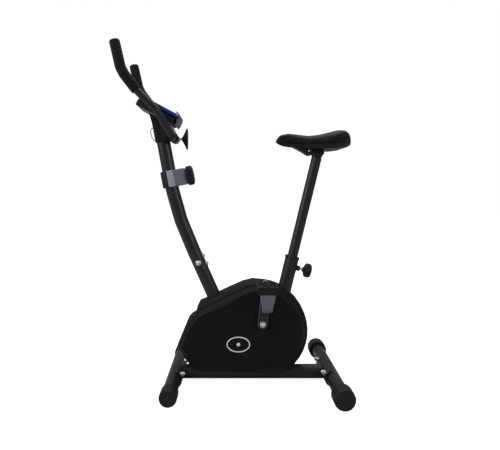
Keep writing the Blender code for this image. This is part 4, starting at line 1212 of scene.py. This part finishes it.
class BIKE_OT_saddle(bpy.types.Operator):
    """Model the padded saddle over its moulded pan"""

    bl_idname = "bike.saddle"
    bl_label = "Saddle"

    def execute(self, context):
        settings = context.scene.bike_seat
        pan = refined("saddle_pan", "black_plastic", "saddle_body", 0.0025, 4, 25.0)
        pan.name = "moulded_saddle_pan"
        for vertex in pan.data.vertices:
            if vertex.co.z > 0.8575:
                vertex.co.z += 0.005
        pad = copy_of("saddle")
        for modifier, values in (
            ("DISPLACE", {"strength": -0.004, "mid_level": 0.0}),
            ("REMESH", {"mode": "VOXEL", "voxel_size": 0.005}),
        ):
            apply_modifier(pad, modifier, **values)
        self.inflate(pad, settings.swell)
        apply_modifier(pad, "SMOOTH", factor=0.5, iterations=6)
        apply_modifier(pad, "SUBSURF", levels=1, render_levels=1)
        low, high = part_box("saddle")
        for axis in range(3):
            least = min(vertex.co[axis] for vertex in pad.data.vertices)
            most = max(vertex.co[axis] for vertex in pad.data.vertices)
            scale = (high[axis] - low[axis]) / (most - least)
            for vertex in pad.data.vertices:
                vertex.co[axis] = low[axis] + (vertex.co[axis] - least) * scale
        middle = (low[2] + high[2]) / 2
        for vertex in pad.data.vertices:
            if vertex.co.z < middle:
                vertex.co.z -= min((middle - vertex.co.z) * 0.35, 0.007)
        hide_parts("saddle")
        settle(pad, "saddle_cushion", "saddle_skin", "saddle_body", 80.0)
        self.piping(pad, low, high)
        return {"FINISHED"}

    def inflate(self, pad, limit):
        """Swells the padding from inside and keeps each point within a small distance of where it was."""
        start = [vertex.co.copy() for vertex in pad.data.vertices]
        activate(pad)
        cloth = pad.modifiers.new("padding", "CLOTH")
        cloth.settings.use_pressure = True
        cloth.settings.uniform_pressure_force = 4.0
        cloth.settings.effector_weights.gravity = 0.0
        cloth.settings.quality = 4
        scene = bpy.context.scene
        for number in range(1, 21):
            scene.frame_set(number)
        bpy.ops.object.modifier_apply(modifier=cloth.name)
        scene.frame_set(1)
        for vertex, before in zip(pad.data.vertices, start):
            move = vertex.co - before
            if move.length > limit:
                vertex.co = before + move.normalized() * limit

    def piping(self, pad, low, high):
        """A raised seam round the side of the cushion, just above its lower edge."""
        centre = (Vector(low) + Vector(high)) / 2
        points = []
        for step in range(96):
            angle = 2 * math.pi * step / 96
            far = centre + Vector((math.cos(angle) * 0.3, math.sin(angle) * 0.3, 0.0))
            far.z = centre.z - 0.010
            inner = Vector((centre.x, 0.0, far.z))
            found, spot, normal, _ = pad.ray_cast(far, (inner - far).normalized())
            if found:
                points.append(spot - normal * 0.0002)
        points.append(points[0].copy())
        seam = tube(points, 0.0011, 3)
        settle(seam, "saddle_piping", "saddle_skin", "saddle_body", 80.0)


class BIKE_OT_stage(bpy.types.Operator):
    """Set the floor, the light and the camera"""

    bl_idname = "bike.stage"
    bl_label = "Stage"

    def execute(self, context):
        deselect()
        bpy.ops.mesh.primitive_plane_add(size=24.0, location=(0.0, 0.0, -0.0002))
        floor = context.object
        floor.name = "floor"
        pale = bpy.data.materials.new("pale_floor")
        pale.use_nodes = True
        tree = pale.node_tree
        shader = tree.nodes["Principled BSDF"]
        shader.inputs["Base Color"].default_value = (0.55, 0.55, 0.55, 1.0)
        shader.inputs["Roughness"].default_value = 0.9
        shader.inputs["Emission Color"].default_value = (1.0, 1.0, 1.0, 1.0)
        rays = tree.nodes.new("ShaderNodeLightPath")
        glow = math_node(tree, "MULTIPLY", rays.outputs["Is Camera Ray"], 0.90)
        tree.links.new(glow, shader.inputs["Emission Strength"])
        floor.data.materials.append(pale)
        world = bpy.data.worlds.new("studio")
        context.scene.world = world
        world.use_nodes = True
        backdrop = world.node_tree.nodes["Background"]
        backdrop.inputs["Color"].default_value = (1.0, 1.0, 1.0, 1.0)
        seen = world.node_tree.nodes.new("ShaderNodeLightPath")
        strength = math_node(world.node_tree, "MULTIPLY_ADD", seen.outputs["Is Camera Ray"], 0.72)
        strength.node.inputs[2].default_value = 0.28
        world.node_tree.links.new(strength, backdrop.inputs["Strength"])
        for name, place, size, power in (
            ("key", (-2.4, -1.0, 2.0), 2.4, 52.0),
            ("fill", (2.4, -1.6, 1.8), 1.4, 20.0),
            ("top", (0.0, 0.4, 3.0), 2.0, 45.0),
        ):
            bpy.ops.object.light_add(type="AREA", location=place)
            light = context.object
            light.name = name
            light.data.size = size
            light.data.energy = power
            aim = Vector((0.0, 0.0, 0.55)) - Vector(place)
            light.rotation_euler = aim.to_track_quat("-Z", "Y").to_euler()
        bpy.ops.object.camera_add(
            location=(-MIDDLE_X, -1.49, 0.687), rotation=(math.radians(90.0), 0.0, 0.0),
        )
        camera = context.object
        camera.data.sensor_width = 36.0
        camera.data.lens = 28.94
        camera.data.shift_x = 0.035
        camera.data.shift_y = -0.0632
        context.scene.camera = camera
        context.scene.view_settings.view_transform = "Standard"
        return {"FINISHED"}


class BIKE_PT_pieces(bpy.types.Panel):
    """The bike's pieces and their settings"""

    bl_label = "Exercise Bike"
    bl_idname = "BIKE_PT_pieces"
    bl_space_type = "VIEW_3D"
    bl_region_type = "UI"
    bl_category = "Exercise Bike"

    def draw(self, context):
        scene = context.scene
        for settings in (
            scene.bike_frame, scene.bike_cover, scene.bike_control, scene.bike_seat, scene.bike_drive,
        ):
            for label in settings.__annotations__:
                self.layout.prop(settings, label)
        for operator in OPERATORS:
            self.layout.operator(operator.bl_idname)


SETTINGS = {
    "bike_frame": FrameSettings,
    "bike_cover": CoverSettings,
    "bike_control": ControlSettings,
    "bike_seat": SeatSettings,
    "bike_drive": DriveSettings,
}
OPERATORS = (
    BIKE_OT_stage, BIKE_OT_frame, BIKE_OT_end_caps, BIKE_OT_fasteners, BIKE_OT_covers, BIKE_OT_drive,
    BIKE_OT_pedals, BIKE_OT_handlebar, BIKE_OT_clamp, BIKE_OT_console, BIKE_OT_tension,
    BIKE_OT_seat_fittings, BIKE_OT_saddle,
)


def register():
    for settings in SETTINGS.values():
        bpy.utils.register_class(settings)
    for name, settings in SETTINGS.items():
        setattr(bpy.types.Scene, name, bpy.props.PointerProperty(type=settings))
    for operator in OPERATORS:
        bpy.utils.register_class(operator)
    bpy.utils.register_class(BIKE_PT_pieces)


def unregister():
    bpy.utils.unregister_class(BIKE_PT_pieces)
    for operator in reversed(OPERATORS):
        bpy.utils.unregister_class(operator)
    for name, settings in SETTINGS.items():
        delattr(bpy.types.Scene, name)
        bpy.utils.unregister_class(settings)


def main():
    register()
    deselect()
    bpy.ops.bike.stage()
    bpy.ops.bike.frame()
    bpy.ops.bike.end_caps()
    bpy.ops.bike.fasteners()
    bpy.ops.bike.covers()
    bpy.ops.bike.drive()
    bpy.ops.bike.pedals()
    bpy.ops.bike.handlebar()
    bpy.ops.bike.clamp()
    bpy.ops.bike.console()
    bpy.ops.bike.tension()
    bpy.ops.bike.seat_fittings()
    bpy.ops.bike.saddle()


if __name__ == "__main__":
    main()
